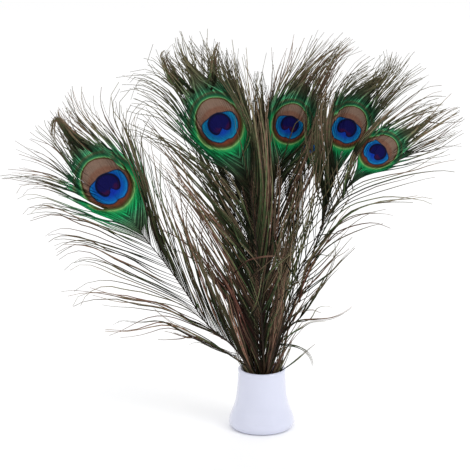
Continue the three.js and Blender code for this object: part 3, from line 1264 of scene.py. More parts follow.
def feathers() -> list[Feather]:
    """The bunch, from the lowest feather on the left to the ones behind."""
    return [
        Feather(
            "feather_low_left", FeatherPlane(-3.5, 6.5, 6), foot=13,
            shaft=(
                (-10, 52), (-25, 74), (-45, 93), (-62, 121), (-78, 146), (-94, 168), (-110, 193),
                (-120, 207),
            ),
            eye=EyePlace((-122.7, 213.0), tilt=34, disc=14.8, teal=0.0, base=3.1),
            left=(
                seen((259, 398), (255, 386), (252, 374), (245, 364), (232, 355), (213, 344), (195, 334)),
                seen((251, 377), (247, 368), (239, 361), (225, 351), (207, 341), (190, 331)),
                seen((238, 356), (225, 350), (207, 341), (187, 330), (166, 320), (150, 321), (138, 326),
                    (122, 329), (98, 329)),
                seen((228, 343), (212, 334), (192, 325), (172, 318), (156, 317), (138, 314), (126, 312),
                    (118, 310)),
                seen((218, 334), (200, 323), (182, 315), (163, 305), (150, 299), (125, 295), (105, 290),
                    (85, 294), (66, 295), (53, 293)),
                seen((212, 328), (196, 315), (175, 305), (150, 298), (122, 291), (106, 286), (90, 288),
                    (81, 294), (77, 303)),
                seen((200, 313), (180, 300), (160, 291), (140, 282), (118, 273), (100, 267), (85, 263),
                    (74, 267), (67, 275)),
                seen((190, 297), (168, 288), (145, 276), (120, 265), (98, 252), (82, 248), (70, 249),
                    (56, 259)),
                seen((180, 285), (158, 275), (132, 261), (108, 252), (85, 242), (65, 238), (52, 237),
                    (46, 239)),
                seen((170, 270), (150, 262), (125, 251), (100, 240), (80, 233), (62, 231), (50, 234),
                    (44, 238)),
                seen((160, 258), (140, 248), (112, 237), (90, 229), (74, 224), (62, 218), (52, 216),
                    (40, 218), (28, 220)),
                seen((150, 245), (132, 236), (108, 228), (88, 221), (73, 219), (62, 215), (48, 216),
                    (36, 219)),
                seen((144, 236), (122, 225), (98, 216), (76, 206), (56, 197), (43, 191), (32, 190),
                    (25, 194), (21, 200)),
                seen((139, 229), (115, 216), (92, 207), (74, 198), (56, 187), (40, 183), (22, 181),
                    (12, 183), (7, 189)),
                seen((134, 222), (112, 210), (90, 200), (73, 189), (55, 183), (38, 178), (20, 177),
                    (2, 178)),
                seen((130, 217), (106, 205), (86, 196), (68, 184), (50, 172), (32, 167), (15, 162),
                    (4, 161)),
                seen((126, 211), (101, 200), (82, 190), (66, 176), (50, 165), (36, 157), (24, 151),
                    (15, 148)),
                seen((121, 205), (97, 194), (79, 184), (66, 171), (56, 157), (44, 147), (33, 141),
                    (25, 136)),
                seen((117, 200), (95, 186), (78, 173), (66, 161), (56, 150), (46, 141), (38, 135),
                    (31, 129)),
                seen((114, 196), (95, 180), (78, 164), (66, 150), (57, 137), (52, 128), (52, 120),
                    (56, 115)),
                seen((112, 193), (97, 172), (80, 152), (68, 138), (61, 127), (58, 120), (54, 115),
                    (50, 121)),
                seen((110, 190), (100, 170), (84, 148), (70, 133), (62, 122), (58, 113)),
            ),
            right=(
                seen((262, 388), (251, 365), (243, 343), (236, 320), (230, 300)),
                seen((236, 352), (229, 332), (219, 308), (209, 284), (201, 262), (195, 243), (191, 228)),
                seen((222, 340), (212, 314), (201, 287), (193, 262), (186, 240), (179, 217), (171, 196),
                    (164, 178)),
                seen((207, 322), (196, 296), (187, 271), (180, 248), (171, 222), (163, 200), (158, 180),
                    (158, 163), (160, 146)),
                seen((194, 303), (184, 280), (175, 257), (166, 235), (159, 215), (153, 195), (148, 170),
                    (143, 152), (140, 142)),
                seen((182, 287), (173, 265), (164, 245), (156, 222), (150, 200), (144, 178), (138, 155),
                    (134, 138), (134, 125), (138, 113)),
                seen((170, 270), (162, 250), (155, 230), (150, 210), (145, 188), (138, 163), (130, 140),
                    (127, 126), (130, 108), (141, 96)),
                seen((160, 257), (153, 238), (149, 215), (145, 190), (138, 165), (129, 140), (121, 120),
                    (114, 105), (112, 92), (118, 79)),
                seen((152, 246), (148, 228), (146, 205), (141, 182), (134, 160), (126, 142), (118, 125),
                    (113, 112), (111, 100)),
                seen((144, 236), (144, 213), (140, 190), (134, 168), (125, 149), (114, 135), (101, 120),
                    (94, 105), (93, 95)),
                seen((138, 228), (139, 205), (136, 185), (128, 164), (115, 147), (101, 130), (89, 113),
                    (86, 98), (87, 84)),
                seen((132, 220), (134, 200), (130, 180), (120, 160), (106, 144), (92, 128), (79, 112),
                    (73, 102), (69, 92)),
                seen((126, 211), (129, 193), (124, 173), (112, 155), (98, 142), (84, 130), (72, 119),
                    (64, 108), (58, 102)),
                seen((119, 201), (121, 183), (114, 165), (101, 150), (88, 138), (76, 128), (66, 119),
                    (60, 108)),
            ),
            strays=(
                Stray(2, 0.5, seen((224, 352), (214, 344), (190, 331), (172, 322), (155, 310),
                    (147, 302))),
                Stray(2, 0.45, seen((224, 352), (205, 342), (178, 327), (160, 318), (138, 321), (118, 320),
                    (110, 330))),
                Stray(1, 0.3, seen((236, 356), (215, 347), (196, 340), (186, 345))),
                Stray(9, 0.54, seen((92, 152), (82, 142), (72, 131), (63, 121), (58, 115), (54, 118),
                    (51, 126))),
                Stray(8, 0.54, seen((84, 150), (75, 141), (67, 132), (61, 123), (57, 116), (53, 121),
                    (51, 131), (52, 141))),
                Stray(6, 0.5, seen((78, 152), (69, 138), (61, 125), (56, 117), (53, 124), (53, 136),
                    (57, 147))),
                Stray(7, 0.54, seen((88, 146), (78, 137), (69, 128), (62, 120), (58, 113), (59, 107))),
            ),
            plumage=Plumage((4.9, 2.1), (2.7, 2.2), ruddy=0.6, green=0.2, ends=0.34),
            seed=11,
        ),
        Feather(
            "feather_upper_left", FeatherPlane(-2.1, 3.9, 2), foot=5,
            shaft=((2, 50), (-1, 102), (-4, 145), (-7, 177), (-11, 203), (-18, 228), (-31, 248)),
            eye=EyePlace((-34.1, 256.0), tilt=26, disc=13.8, teal=0.8, base=2.7),
            left=(
                seen((262, 402), (253, 386), (248, 371), (239, 351), (229, 329), (221, 309)),
                seen((266, 392), (258, 368), (249, 343), (238, 318), (228, 298)),
                seen((262, 345), (250, 322), (236, 298), (220, 272), (204, 248), (192, 228), (182, 210)),
                seen((261, 318), (243, 284), (224, 250), (206, 225), (190, 200), (178, 183), (168, 168)),
                seen((260, 288), (239, 253), (219, 225), (199, 200), (182, 179), (169, 160), (159, 146)),
                seen((258, 262), (236, 230), (213, 202), (193, 180), (176, 161), (161, 144), (149, 130),
                    (134, 119)),
                seen((257, 242), (236, 213), (212, 187), (191, 166), (172, 150), (156, 139), (146, 137),
                    (133, 142)),
                seen((255, 224), (236, 198), (215, 178), (195, 160), (178, 146), (160, 132), (149, 120),
                    (145, 109)),
                seen((253, 209), (235, 184), (212, 166), (195, 150), (178, 137), (160, 128), (148, 118),
                    (133, 115)),
                seen((251, 197), (232, 173), (210, 159), (193, 146), (177, 129), (163, 117), (150, 109),
                    (138, 104)),
                seen((248, 183), (228, 164), (209, 150), (193, 136), (180, 118), (168, 103), (150, 92),
                    (135, 89), (122, 86)),
                seen((245, 172), (223, 156), (204, 142), (190, 125), (180, 108), (168, 92), (155, 82),
                    (142, 77), (134, 77), (132, 87), (130, 102)),
                seen((241, 161), (217, 148), (201, 132), (192, 115), (183, 97), (172, 83), (158, 74),
                    (147, 69), (137, 69)),
                seen((236, 153), (211, 139), (197, 120), (189, 101), (180, 84), (170, 70), (165, 61),
                    (162, 52)),
                seen((232, 146), (208, 125), (197, 103), (187, 84), (176, 69), (168, 60), (167, 54),
                    (176, 56)),
                seen((228, 140), (212, 110), (198, 86), (186, 72), (176, 63), (170, 55)),
            ),
            right=(
                seen((266, 398), (271, 373), (276, 348), (282, 322), (287, 300)),
                seen((259, 345), (267, 324), (275, 303), (282, 282), (288, 262)),
                seen((258, 318), (266, 296), (274, 275), (280, 254), (284, 234)),
                seen((258, 298), (266, 272), (272, 245), (275, 215), (275, 185), (273, 158)),
                seen((258, 255), (262, 215), (263, 180), (261, 150), (257, 120), (253, 95), (250, 78),
                    (246, 60)),
                seen((255, 228), (259, 190), (259, 158), (254, 127), (247, 100), (241, 76), (236, 60),
                    (232, 44)),
                seen((252, 205), (256, 165), (253, 135), (245, 108), (236, 85), (228, 68), (222, 55),
                    (219, 45)),
                seen((249, 190), (251, 155), (247, 127), (238, 105), (228, 85), (220, 70), (213, 60),
                    (206, 50)),
                seen((245, 172), (246, 140), (239, 112), (227, 92), (214, 75), (204, 60), (197, 50),
                    (190, 41)),
                seen((239, 158), (238, 125), (229, 100), (214, 83), (200, 68), (191, 55), (187, 42),
                    (184, 29)),
                seen((232, 146), (228, 115), (217, 94), (202, 78), (190, 67), (182, 56), (178, 47),
                    (177, 36)),
            ),
            strays=(
                Stray(1, 0.3, seen((250, 190), (247, 165), (241, 140), (236, 125), (236, 112))),
                Stray(2, 0.55, seen((241, 161), (250, 130), (243, 112), (233, 98))),
                Stray(8, 0.54, seen((256, 250), (246, 228), (234, 206), (221, 188), (208, 174),
                    (196, 163))),
                Stray(8, 0.5, seen((256, 262), (244, 240), (230, 218), (215, 200), (200, 186))),
                Stray(7, 0.54, seen((252, 230), (243, 210), (232, 192), (220, 176), (207, 163))),
                Stray(7, 0.5, seen((254, 275), (243, 255), (229, 236), (213, 220), (198, 208))),
                Stray(6, 0.45, seen((254, 240), (247, 215), (240, 195), (232, 178), (222, 165))),
                Stray(6, 0.54, seen((256, 268), (248, 246), (238, 225), (227, 206), (217, 192))),
                Stray(12, 0.56, seen((189, 95), (183, 90), (176, 81), (169, 70), (165, 59), (168, 52))),
                Stray(10, 0.52, seen((183, 95), (177, 87), (170, 75), (164, 62), (161, 53), (166, 50))),
                Stray(9, 0.54, seen((195, 93), (189, 88), (180, 78), (172, 66), (167, 55), (171, 50))),
                Stray(9, 0.56, seen((211, 90), (213, 82), (215, 70), (215, 58), (217, 47), (219, 41))),
                Stray(8, 0.5, seen((206, 88), (209, 80), (211, 70), (212, 59), (215, 48), (218, 42))),
                Stray(6, 0.9, seen((248, 338), (236, 311), (222, 288), (207, 264), (192, 247), (176, 235),
                    (160, 228), (148, 224))),
                Stray(5, 0.85, seen((250, 346), (241, 325), (229, 300), (214, 275), (204, 250), (200, 230),
                    (203, 215))),
                Stray(6, 0.95, seen((251, 350), (243, 330), (237, 310), (233, 290), (229, 268),
                    (227, 250))),
                Stray(4, 0.6, seen((246, 322), (229, 298), (210, 276), (194, 255), (187, 235), (185, 215),
                    (189, 196))),
                Stray(4, 0.5, seen((243, 312), (224, 288), (205, 264), (190, 241), (181, 219), (176, 200),
                    (172, 186))),
                Stray(4, 0.9, seen((239, 302), (221, 283), (201, 264), (186, 254), (172, 249),
                    (161, 251))),
                Stray(3, 0.8, seen((236, 292), (219, 268), (207, 248), (203, 230), (210, 218),
                    (222, 212))),
                Stray(7, 0.95, seen((249, 335), (240, 310), (230, 288), (219, 268), (209, 250),
                    (200, 236))),
            ),
            plumage=Plumage((2.5, 1.5), (4.0, 2.2), ruddy=0.9, green=0.85, ends=0.22),
            seed=22,
        ),
        Feather(
            "feather_middle", FeatherPlane(0.7, -1.3, -1), foot=1,
            shaft=((1, 49), (2, 107), (5, 157), (8, 198), (15, 229), (20, 244)),
            eye=EyePlace((21.2, 249.9), tilt=-17, disc=10.7, teal=0.45, base=2.3),
            left=(
                seen((263, 402), (254, 386), (248, 371), (242, 350), (238, 325), (236, 300)),
                seen((263, 392), (258, 368), (254, 340), (252, 310), (251, 285)),
                seen((263, 345), (262, 315), (260, 283), (258, 252), (256, 225)),
                seen((264, 315), (264, 278), (262, 242), (260, 207), (258, 176), (256, 150)),
                seen((265, 282), (266, 242), (265, 207), (263, 172), (261, 137), (257, 105), (255, 86),
                    (255, 70)),
                seen((268, 243), (268, 205), (267, 172), (265, 140), (264, 115), (266, 90), (266, 74),
                    (265, 58), (271, 49)),
                seen((270, 215), (270, 180), (268, 152), (267, 126), (270, 100), (274, 80), (275, 64),
                    (278, 47)),
                seen((275, 180), (272, 155), (270, 130), (272, 107), (279, 88), (288, 72), (296, 56),
                    (301, 42), (303, 29)),
                seen((279, 162), (274, 143), (272, 120), (276, 102), (286, 87), (297, 70), (308, 52),
                    (318, 37)),
                seen((282, 151), (276, 136), (276, 115), (283, 98), (294, 82), (309, 66), (324, 50),
                    (336, 38)),
                seen((286, 140), (280, 118), (286, 100), (297, 84), (311, 67), (326, 54), (338, 45),
                    (347, 37)),
                seen((288, 134), (292, 105), (300, 88), (311, 72), (324, 58), (337, 47)),
            ),
            right=(
                seen((263, 402), (274, 386), (280, 371), (285, 350), (290, 325), (294, 300)),
                seen((263, 392), (268, 368), (273, 340), (279, 315), (284, 295)),
                seen((264, 340), (272, 312), (281, 286), (290, 262), (298, 244)),
                seen((264, 312), (276, 280), (287, 255), (298, 230), (308, 210)),
                seen((266, 275), (279, 246), (291, 222), (302, 197), (310, 174)),
                seen((268, 243), (281, 215), (293, 190), (304, 167), (312, 150), (318, 130), (322, 110)),
                seen((271, 205), (284, 182), (297, 162), (306, 144), (315, 125), (322, 105), (328, 84)),
                seen((275, 182), (289, 162), (301, 143), (310, 124), (318, 105), (326, 88), (335, 72),
                    (343, 58)),
                seen((279, 165), (293, 147), (304, 129), (313, 111), (321, 92), (330, 74), (341, 58),
                    (353, 45)),
                seen((284, 152), (298, 133), (307, 115), (313, 97), (321, 80), (331, 65), (343, 50),
                    (357, 42)),
                seen((287, 140), (300, 118), (306, 101), (312, 85), (322, 70), (335, 54), (348, 40)),
            ),
            strays=(
                Stray(4, 0.5, seen((281, 166), (293, 154), (305, 142), (315, 124), (320, 104))),
                Stray(4, 0.45, seen((279, 176), (292, 164), (306, 152), (318, 136), (326, 114))),
                Stray(3, 0.55, seen((284, 160), (298, 148), (310, 134), (318, 114), (325, 92))),
                Stray(1, 0.3, seen((278, 170), (300, 117), (312, 138), (322, 148), (332, 152))),
                Stray(2, 0.55, seen((276, 200), (284, 172), (298, 160), (315, 153), (331, 151))),
            ),
            plumage=Plumage((4.8, 1.6), (3.6, 1.1), ruddy=0.6, green=0.15),
            seed=33,
        ),
        Feather(
            "feather_upper_right", FeatherPlane(-0.7, 1.3, -3), foot=-6,
            shaft=((8, 50), (24, 100), (40, 147), (52, 189), (60, 225), (65, 245)),
            eye=EyePlace((65.9, 250.4), tilt=-28, disc=11.4, teal=0.4, base=1.55),
            left=(
                seen((264, 392), (268, 368), (270, 340), (273, 310), (276, 285)),
                seen((274, 362), (275, 325), (279, 290), (285, 257), (290, 230)),
                seen((281, 338), (284, 300), (289, 262), (296, 228), (302, 198), (306, 175)),
                seen((292, 310), (296, 270), (303, 232), (308, 202), (312, 175), (314, 150), (314, 130)),
                seen((302, 282), (306, 245), (312, 213), (317, 182), (320, 155), (320, 130), (320, 108),
                    (322, 88)),
                seen((313, 252), (316, 222), (321, 190), (324, 162), (326, 138), (326, 115), (328, 95),
                    (333, 78)),
                seen((322, 225), (323, 195), (327, 165), (329, 140), (330, 118), (333, 100), (340, 83),
                    (350, 71), (364, 62)),
                seen((335, 179), (333, 162), (332, 144), (334, 120), (338, 102), (350, 87), (365, 76),
                    (382, 66)),
                seen((337, 170), (335, 148), (335, 125), (341, 107), (353, 93), (368, 83), (385, 73),
                    (397, 60)),
                seen((341, 157), (338, 130), (344, 109), (357, 95), (372, 86), (384, 74), (390, 62),
                    (389, 50)),
                seen((345, 138), (354, 110), (365, 95), (378, 84), (388, 70), (395, 50)),
            ),
            right=(
                seen((262, 402), (274, 386), (279, 371), (285, 349), (292, 320), (299, 292)),
                seen((264, 392), (274, 368), (285, 340), (296, 318), (305, 300)),
                seen((277, 350), (289, 320), (301, 295), (311, 272)),
                seen((287, 322), (300, 292), (313, 265), (326, 240), (336, 222)),
                seen((299, 292), (312, 260), (325, 233), (339, 209), (351, 192)),
                seen((312, 255), (322, 229), (335, 203), (349, 179), (361, 160)),
                seen((322, 225), (333, 198), (346, 172), (359, 150), (373, 131), (389, 114), (405, 101)),
                seen((335, 178), (343, 163), (354, 147), (369, 127), (385, 109), (401, 94), (418, 84)),
                seen((337, 170), (347, 152), (361, 134), (376, 114), (391, 97), (407, 83), (424, 74)),
                seen((340, 160), (354, 141), (368, 121), (381, 103), (395, 88), (409, 74), (424, 63)),
                seen((343, 148), (358, 130), (371, 112), (380, 95), (390, 82), (403, 70), (410, 56)),
                seen((345, 140), (360, 118), (371, 101), (381, 86), (391, 70), (400, 53)),
            ),
            strays=(
                Stray(2, 0.4, seen((345, 165), (372, 130), (400, 106), (416, 94), (431, 79))),
                Stray(8, 0.54, seen((331, 196), (326, 172), (322, 150), (320, 128), (322, 104),
                    (328, 84))),
                Stray(8, 0.54, seen((330, 192), (328, 168), (326, 146), (325, 124), (327, 104),
                    (334, 86))),
                Stray(7, 0.5, seen((326, 206), (322, 180), (318, 158), (316, 136), (317, 114), (322, 92))),
                Stray(6, 0.55, seen((333, 188), (329, 165), (327, 142), (328, 122), (333, 104),
                    (343, 88))),
                Stray(4, 0.4, seen((327, 205), (318, 178), (311, 156), (306, 134), (304, 112))),
                Stray(9, 0.54, seen((335, 178), (331, 160), (329, 142), (329, 124), (331, 106),
                    (336, 92))),
                Stray(7, 0.54, seen((336, 174), (332, 158), (330, 140), (330, 124), (334, 108))),
                Stray(9, 0.54, seen((323, 196), (322, 176), (322, 158), (322, 140), (322, 122),
                    (324, 104))),
                Stray(8, 0.5, seen((318, 190), (317, 170), (317, 150), (317, 132), (319, 114))),
                Stray(1, 0.3, seen((338, 205), (334, 188), (332, 172), (331, 158))),
                Stray(1, 0.3, seen((343, 200), (339, 184), (337, 170), (336, 158))),
                Stray(1, 0.3, seen((348, 196), (345, 182), (343, 170), (342, 158))),
                Stray(1, 0.3, seen((353, 190), (350, 178), (348, 168), (347, 158))),
                Stray(1, 0.3, seen((330, 212), (327, 196), (325, 180), (324, 166))),
                Stray(1, 0.3, seen((322, 212), (334, 194), (345, 177), (353, 160))),
                Stray(1, 0.3, seen((326, 217), (339, 199), (350, 181), (357, 166))),
                Stray(1, 0.3, seen((317, 205), (329, 187), (340, 170), (348, 156))),
                Stray(1, 0.3, seen((331, 222), (344, 204), (355, 187))),
                Stray(1, 0.3, seen((320, 228), (334, 208), (347, 190), (358, 176))),
                Stray(1, 0.3, seen((313, 200), (324, 184), (334, 169), (342, 156))),
                Stray(6, 0.25, seen((258, 394), (252, 383), (249, 372), (243, 358), (237, 344))),
                Stray(6, 0.8, seen((259, 394), (254, 383), (251, 372), (245, 357), (240, 342))),
                Stray(6, 0.3, seen((258, 394), (251, 383), (248, 372), (240, 358), (233, 345))),
                Stray(7, 0.2, seen((267, 394), (272, 383), (276, 372), (282, 357), (288, 342))),
                Stray(6, 0.35, seen((268, 394), (273, 383), (277, 372), (285, 356), (292, 341))),
                Stray(6, 0.7, seen((266, 394), (271, 384), (275, 372), (281, 356), (286, 340))),
                Stray(3, 0.5, seen((334, 180), (331, 160), (330, 140), (332, 122), (338, 106), (350, 92))),
                Stray(3, 0.35, seen((329, 200), (321, 182), (315, 160), (313, 138), (316, 116),
                    (322, 96))),
            ),
            plumage=Plumage((24.0, 1.2), (24.0, 1.3), ruddy=0.5, crowd=(0.72, 0.84), ends=0.05),
            seed=44,
        ),
        Feather(
            "feather_low_right", FeatherPlane(-4.9, 9.1, -7), foot=-9,
            shaft=((6, 53), (18, 94), (32, 142), (52, 185), (73, 221), (88, 241)),
            eye=EyePlace((91.7, 244.5), tilt=-56, disc=10.0, teal=0.3, base=1.9),
            left=(
                seen((260, 392), (266, 366), (272, 340), (277, 315), (281, 292)),
                seen((276, 345), (277, 322), (279, 298), (282, 274)),
                seen((282, 326), (281, 303), (283, 279), (286, 255)),
                seen((290, 305), (288, 284), (289, 262), (291, 240)),
                seen((298, 283), (296, 258), (296, 232), (298, 208), (301, 190)),
                seen((308, 259), (304, 236), (303, 212), (304, 190), (306, 168)),
                seen((316, 242), (312, 220), (310, 197), (311, 175), (313, 158)),
                seen((325, 222), (321, 204), (319, 187), (320, 170), (322, 155)),
                seen((333, 209), (330, 192), (329, 176), (330, 160), (332, 146)),
                seen((340, 198), (338, 182), (338, 166), (341, 150)),
                seen((352, 181), (357, 166), (361, 152), (371, 137), (385, 122), (402, 108), (416, 98),
                    (428, 92)),
                seen((357, 175), (363, 157), (371, 143), (383, 128), (399, 118), (415, 110), (432, 105),
                    (446, 108)),
                seen((363, 167), (367, 149), (377, 136), (393, 126), (410, 117), (428, 109), (440, 106)),
                seen((370, 159), (385, 143), (402, 133), (418, 124), (434, 114), (450, 106)),
            ),
            right=(
                seen((262, 398), (270, 384), (273, 372), (282, 353), (293, 330), (302, 308)),
                seen((260, 392), (272, 368), (286, 350), (298, 335), (308, 322)),
                seen((276, 345), (287, 322), (297, 302), (308, 284)),
                seen((280, 335), (294, 308), (304, 288), (316, 270)),
                seen((290, 305), (304, 284), (317, 277), (335, 262), (348, 252), (357, 246)),
                seen((296, 286), (312, 266), (325, 252), (339, 240), (349, 229), (356, 222)),
                seen((303, 268), (318, 248), (331, 232), (346, 217), (362, 210), (382, 207), (402, 210),
                    (413, 214), (424, 221)),
                seen((310, 254), (326, 234), (343, 219), (360, 208), (380, 203), (400, 201), (420, 201),
                    (432, 202), (440, 207)),
                seen((318, 236), (332, 220), (348, 207), (365, 199), (385, 193), (405, 192), (418, 189),
                    (430, 190)),
                seen((328, 217), (342, 201), (357, 191), (371, 185), (395, 176), (420, 168), (440, 162),
                    (450, 162)),
                seen((336, 204), (349, 190), (364, 181), (386, 174), (406, 168), (426, 162), (441, 160),
                    (456, 156)),
                seen((343, 193), (354, 183), (367, 175), (386, 170), (406, 163), (425, 156), (445, 151),
                    (455, 147)),
                seen((350, 183), (361, 175), (374, 170), (390, 165), (408, 153), (426, 145), (445, 133),
                    (461, 123)),
                seen((358, 173), (369, 168), (381, 166), (395, 159), (411, 147), (428, 135), (445, 125),
                    (463, 114)),
                seen((366, 163), (378, 161), (391, 157), (404, 146), (417, 136), (433, 124), (449, 114),
                    (459, 110)),
            ),
            strays=(
                Stray(1, 0.4, seen((272, 362), (281, 350), (288, 343), (298, 342), (307, 347), (312, 355),
                    (314, 369))),
                Stray(2, 0.5, seen((282, 340), (292, 332), (301, 326), (311, 320), (326, 320))),
                Stray(1, 0.4, seen((296, 322), (310, 318), (318, 307), (328, 305), (336, 308))),
                Stray(3, 0.35, seen((285, 330), (298, 318), (312, 300), (322, 281), (332, 262), (335, 246),
                    (333, 233))),
                Stray(2, 0.55, seen((290, 325), (303, 305), (318, 288), (330, 275), (341, 266))),
                Stray(1, 0.5, seen((316, 238), (328, 234), (338, 233), (344, 235), (349, 238))),
                Stray(1, 0.5, seen((305, 262), (320, 251), (332, 253), (344, 253))),
                Stray(1, 0.2, seen((400, 153), (425, 148), (445, 144), (460, 146), (469, 149))),
                Stray(3, 0.9, seen((234, 273), (240, 266), (248, 260), (257, 256), (267, 255), (277, 255),
                    (286, 257))),
                Stray(2, 0.5, seen((245, 282), (253, 274), (261, 266), (270, 259), (277, 256))),
                Stray(2, 0.5, seen((281, 372), (293, 362), (305, 352), (317, 342))),
                Stray(2, 0.5, seen((278, 344), (288, 342), (297, 343), (305, 347), (311, 356),
                    (314, 369))),
                Stray(3, 0.6, seen((283, 330), (300, 318), (316, 317), (331, 316), (345, 311),
                    (354, 305))),
                Stray(2, 0.55, seen((284, 326), (296, 312), (304, 308), (312, 308), (322, 312))),
                Stray(3, 0.55, seen((300, 296), (316, 282), (330, 270), (344, 256), (356, 246))),
                Stray(2, 0.6, seen((300, 318), (310, 300), (322, 284), (333, 270))),
                Stray(4, 0.3, seen((300, 300), (303, 275), (311, 256), (322, 242), (336, 228))),
                Stray(3, 0.95, seen((300, 302), (304, 278), (312, 260), (324, 244))),
                Stray(3, 0.5, seen((262, 312), (270, 300), (277, 285), (282, 268), (279, 250),
                    (276, 240))),
                Stray(2, 0.3, seen((260, 300), (268, 288), (276, 275), (283, 262))),
                Stray(2, 0.55, seen((272, 236), (275, 253), (279, 268), (283, 284), (284, 300))),
                Stray(2, 0.4, seen((286, 262), (292, 272), (300, 283), (306, 296))),
                Stray(2, 0.6, seen((237, 246), (243, 257), (250, 270), (256, 284))),
                Stray(2, 0.5, seen((243, 262), (251, 280), (257, 298), (262, 318))),
                Stray(2, 0.45, seen((262, 285), (269, 270), (280, 258), (292, 250), (304, 243))),
                Stray(2, 0.6, seen((268, 330), (277, 312), (283, 292), (285, 274))),
                Stray(2, 0.4, seen((250, 318), (258, 300), (263, 280), (266, 262))),
                Stray(2, 0.35, seen((279, 300), (290, 286), (303, 276), (314, 266))),
                Stray(2, 0.5, seen((232, 222), (240, 238), (250, 252), (262, 268))),
                Stray(2, 0.6, seen((290, 215), (285, 235), (277, 255), (270, 276))),
                Stray(8, 0.54, seen((344, 194), (349, 178), (354, 165), (358, 154), (363, 146))),
                Stray(7, 0.5, seen((343, 198), (346, 181), (350, 166), (354, 152), (360, 142))),
                Stray(10, 0.54, seen((351, 162), (356, 151), (362, 141), (370, 130), (380, 120),
                    (392, 110))),
                Stray(9, 0.5, seen((350, 166), (355, 153), (360, 143), (368, 133), (378, 124),
                    (390, 114))),
                Stray(8, 0.54, seen((352, 158), (357, 147), (364, 136), (372, 126), (382, 115),
                    (396, 104))),
            ),
            plumage=Plumage((17.0, 1.5), (7.0, 2.6), ruddy=0.6, green=0.5, crowd=(0.86, 0.93)),
            seed=55,
        ),
        Feather(
            "feather_half_hidden", FeatherPlane(2.1, -3.9, -2), foot=-4,
            shaft=((5, 48), (17, 105), (27, 155), (35, 196), (38, 224)),
            eye=EyePlace((36.8, 230.7), tilt=-11, disc=5.2, teal=0.4, base=1.3),
            left=(
                seen((263, 392), (262, 368), (262, 340), (263, 315), (265, 290)),
                seen((270, 355), (272, 325), (276, 285), (280, 250)),
                seen((283, 300), (284, 265), (287, 230), (290, 198)),
                seen((300, 220), (300, 190), (300, 160), (301, 130), (300, 103)),
                seen((305, 195), (303, 166), (301, 138), (303, 112), (306, 88)),
                seen((309, 172), (304, 150), (303, 125), (307, 100), (311, 78)),
                seen((311, 158), (312, 128), (314, 102), (318, 76)),
            ),
            right=(
                seen((263, 392), (271, 368), (279, 340), (287, 315), (294, 295)),
                seen((276, 330), (286, 305), (298, 283), (311, 268)),
                seen((287, 283), (296, 262), (306, 245), (318, 232), (330, 222)),
                seen((292, 258), (301, 240), (312, 224), (325, 210), (338, 199)),
                seen((297, 236), (306, 219), (317, 204), (330, 191), (344, 180)),
                seen((300, 220), (309, 203), (321, 187), (334, 175), (348, 165)),
                seen((303, 207), (312, 190), (323, 176), (336, 165), (348, 156)),
                seen((306, 190), (315, 172), (325, 158), (337, 148), (347, 142)),
                seen((309, 172), (319, 152), (325, 132), (328, 110), (328, 88)),
                seen((311, 162), (321, 143), (325, 122), (326, 100), (323, 78)),
            ),
            plumage=Plumage((3.6, 1.6), (16.0, 1.6), ruddy=0.1, crowd=(0.84, 0.94)),
            seed=66,
        ),
        Feather(
            "feather_back_left", FeatherPlane(3.5, -6.5, -4), foot=4,
            shaft=((-5, 47), (-10, 103), (-17, 153), (-23, 198), (-29, 230), (-33, 244)),
            eye=EyePlace((-33, 248), tilt=14, disc=12.0, teal=0.5, base=3.0),
            left=(
                seen((262, 400), (253, 386), (249, 371), (241, 350), (232, 325), (225, 300)),
                seen((252, 330), (240, 300), (230, 270), (222, 243)),
                seen((250, 298), (236, 265), (224, 235), (214, 208)),
                seen((246, 265), (230, 228), (214, 198), (200, 170)),
                seen((242, 240), (225, 205), (208, 175), (193, 145), (183, 118)),
                seen((238, 205), (220, 170), (204, 140), (190, 110), (183, 86)),
                seen((234, 172), (215, 145), (200, 115), (190, 85), (184, 58), (182, 38)),
                seen((230, 152), (212, 125), (202, 98), (197, 72), (192, 48)),
                seen((225, 133), (218, 100), (214, 75), (215, 55), (218, 40)),
            ),
            right=(
                seen((261, 392), (258, 368), (257, 340), (257, 310), (256, 285)),
                seen((253, 335), (256, 300), (257, 270), (256, 243)),
                seen((249, 288), (254, 250), (255, 215), (253, 183)),
                seen((242, 240), (251, 205), (253, 170), (250, 140), (246, 113)),
                seen((238, 203), (247, 165), (248, 130), (244, 100), (238, 78), (233, 58)),
                seen((233, 168), (242, 135), (241, 105), (234, 80), (227, 62), (222, 48)),
                seen((228, 145), (234, 115), (231, 88), (224, 65), (219, 44)),
            ),
            plumage=Plumage((2.0, 2.2), (2.2, 2.2), ruddy=0.15),
            seed=77,
            facing=Facing.BACK,
        ),
        Feather(
            "feather_back_middle", FeatherPlane(4.9, -9.1, 3), foot=6,
            shaft=((0, 46), (0, 102), (-1, 152), (-1, 193), (0, 217)),
            eye=EyePlace((0, 221), tilt=-2, disc=10.8, teal=0.2, base=3.0),
            left=(
                seen((264, 400), (254, 386), (250, 371), (246, 345), (243, 315), (241, 290)),
                seen((261, 330), (256, 295), (251, 262), (247, 233)),
                seen((261, 290), (253, 250), (247, 215), (243, 180)),
                seen((259, 245), (250, 208), (244, 175), (242, 145), (243, 116)),
                seen((259, 205), (249, 170), (245, 138), (247, 108), (250, 86)),
                seen((260, 163), (258, 125), (256, 98), (255, 78), (257, 68)),
            ),
            right=(
                seen((264, 400), (268, 386), (271, 371), (279, 342), (288, 312), (293, 288)),
                seen((262, 330), (266, 295), (270, 262), (272, 233)),
                seen((261, 290), (269, 250), (274, 215), (277, 183)),
                seen((259, 245), (269, 208), (274, 175), (275, 145), (272, 116)),
                seen((259, 205), (269, 170), (273, 138), (271, 108), (266, 88), (262, 73)),
            ),
            plumage=Plumage((2.3, 2.2), (2.1, 2.2), ruddy=0.05, ends=0.62),
            seed=88,
            facing=Facing.BACK,
        ),
    ]


# ---- Vase -----------------------------------------------------------------------------------


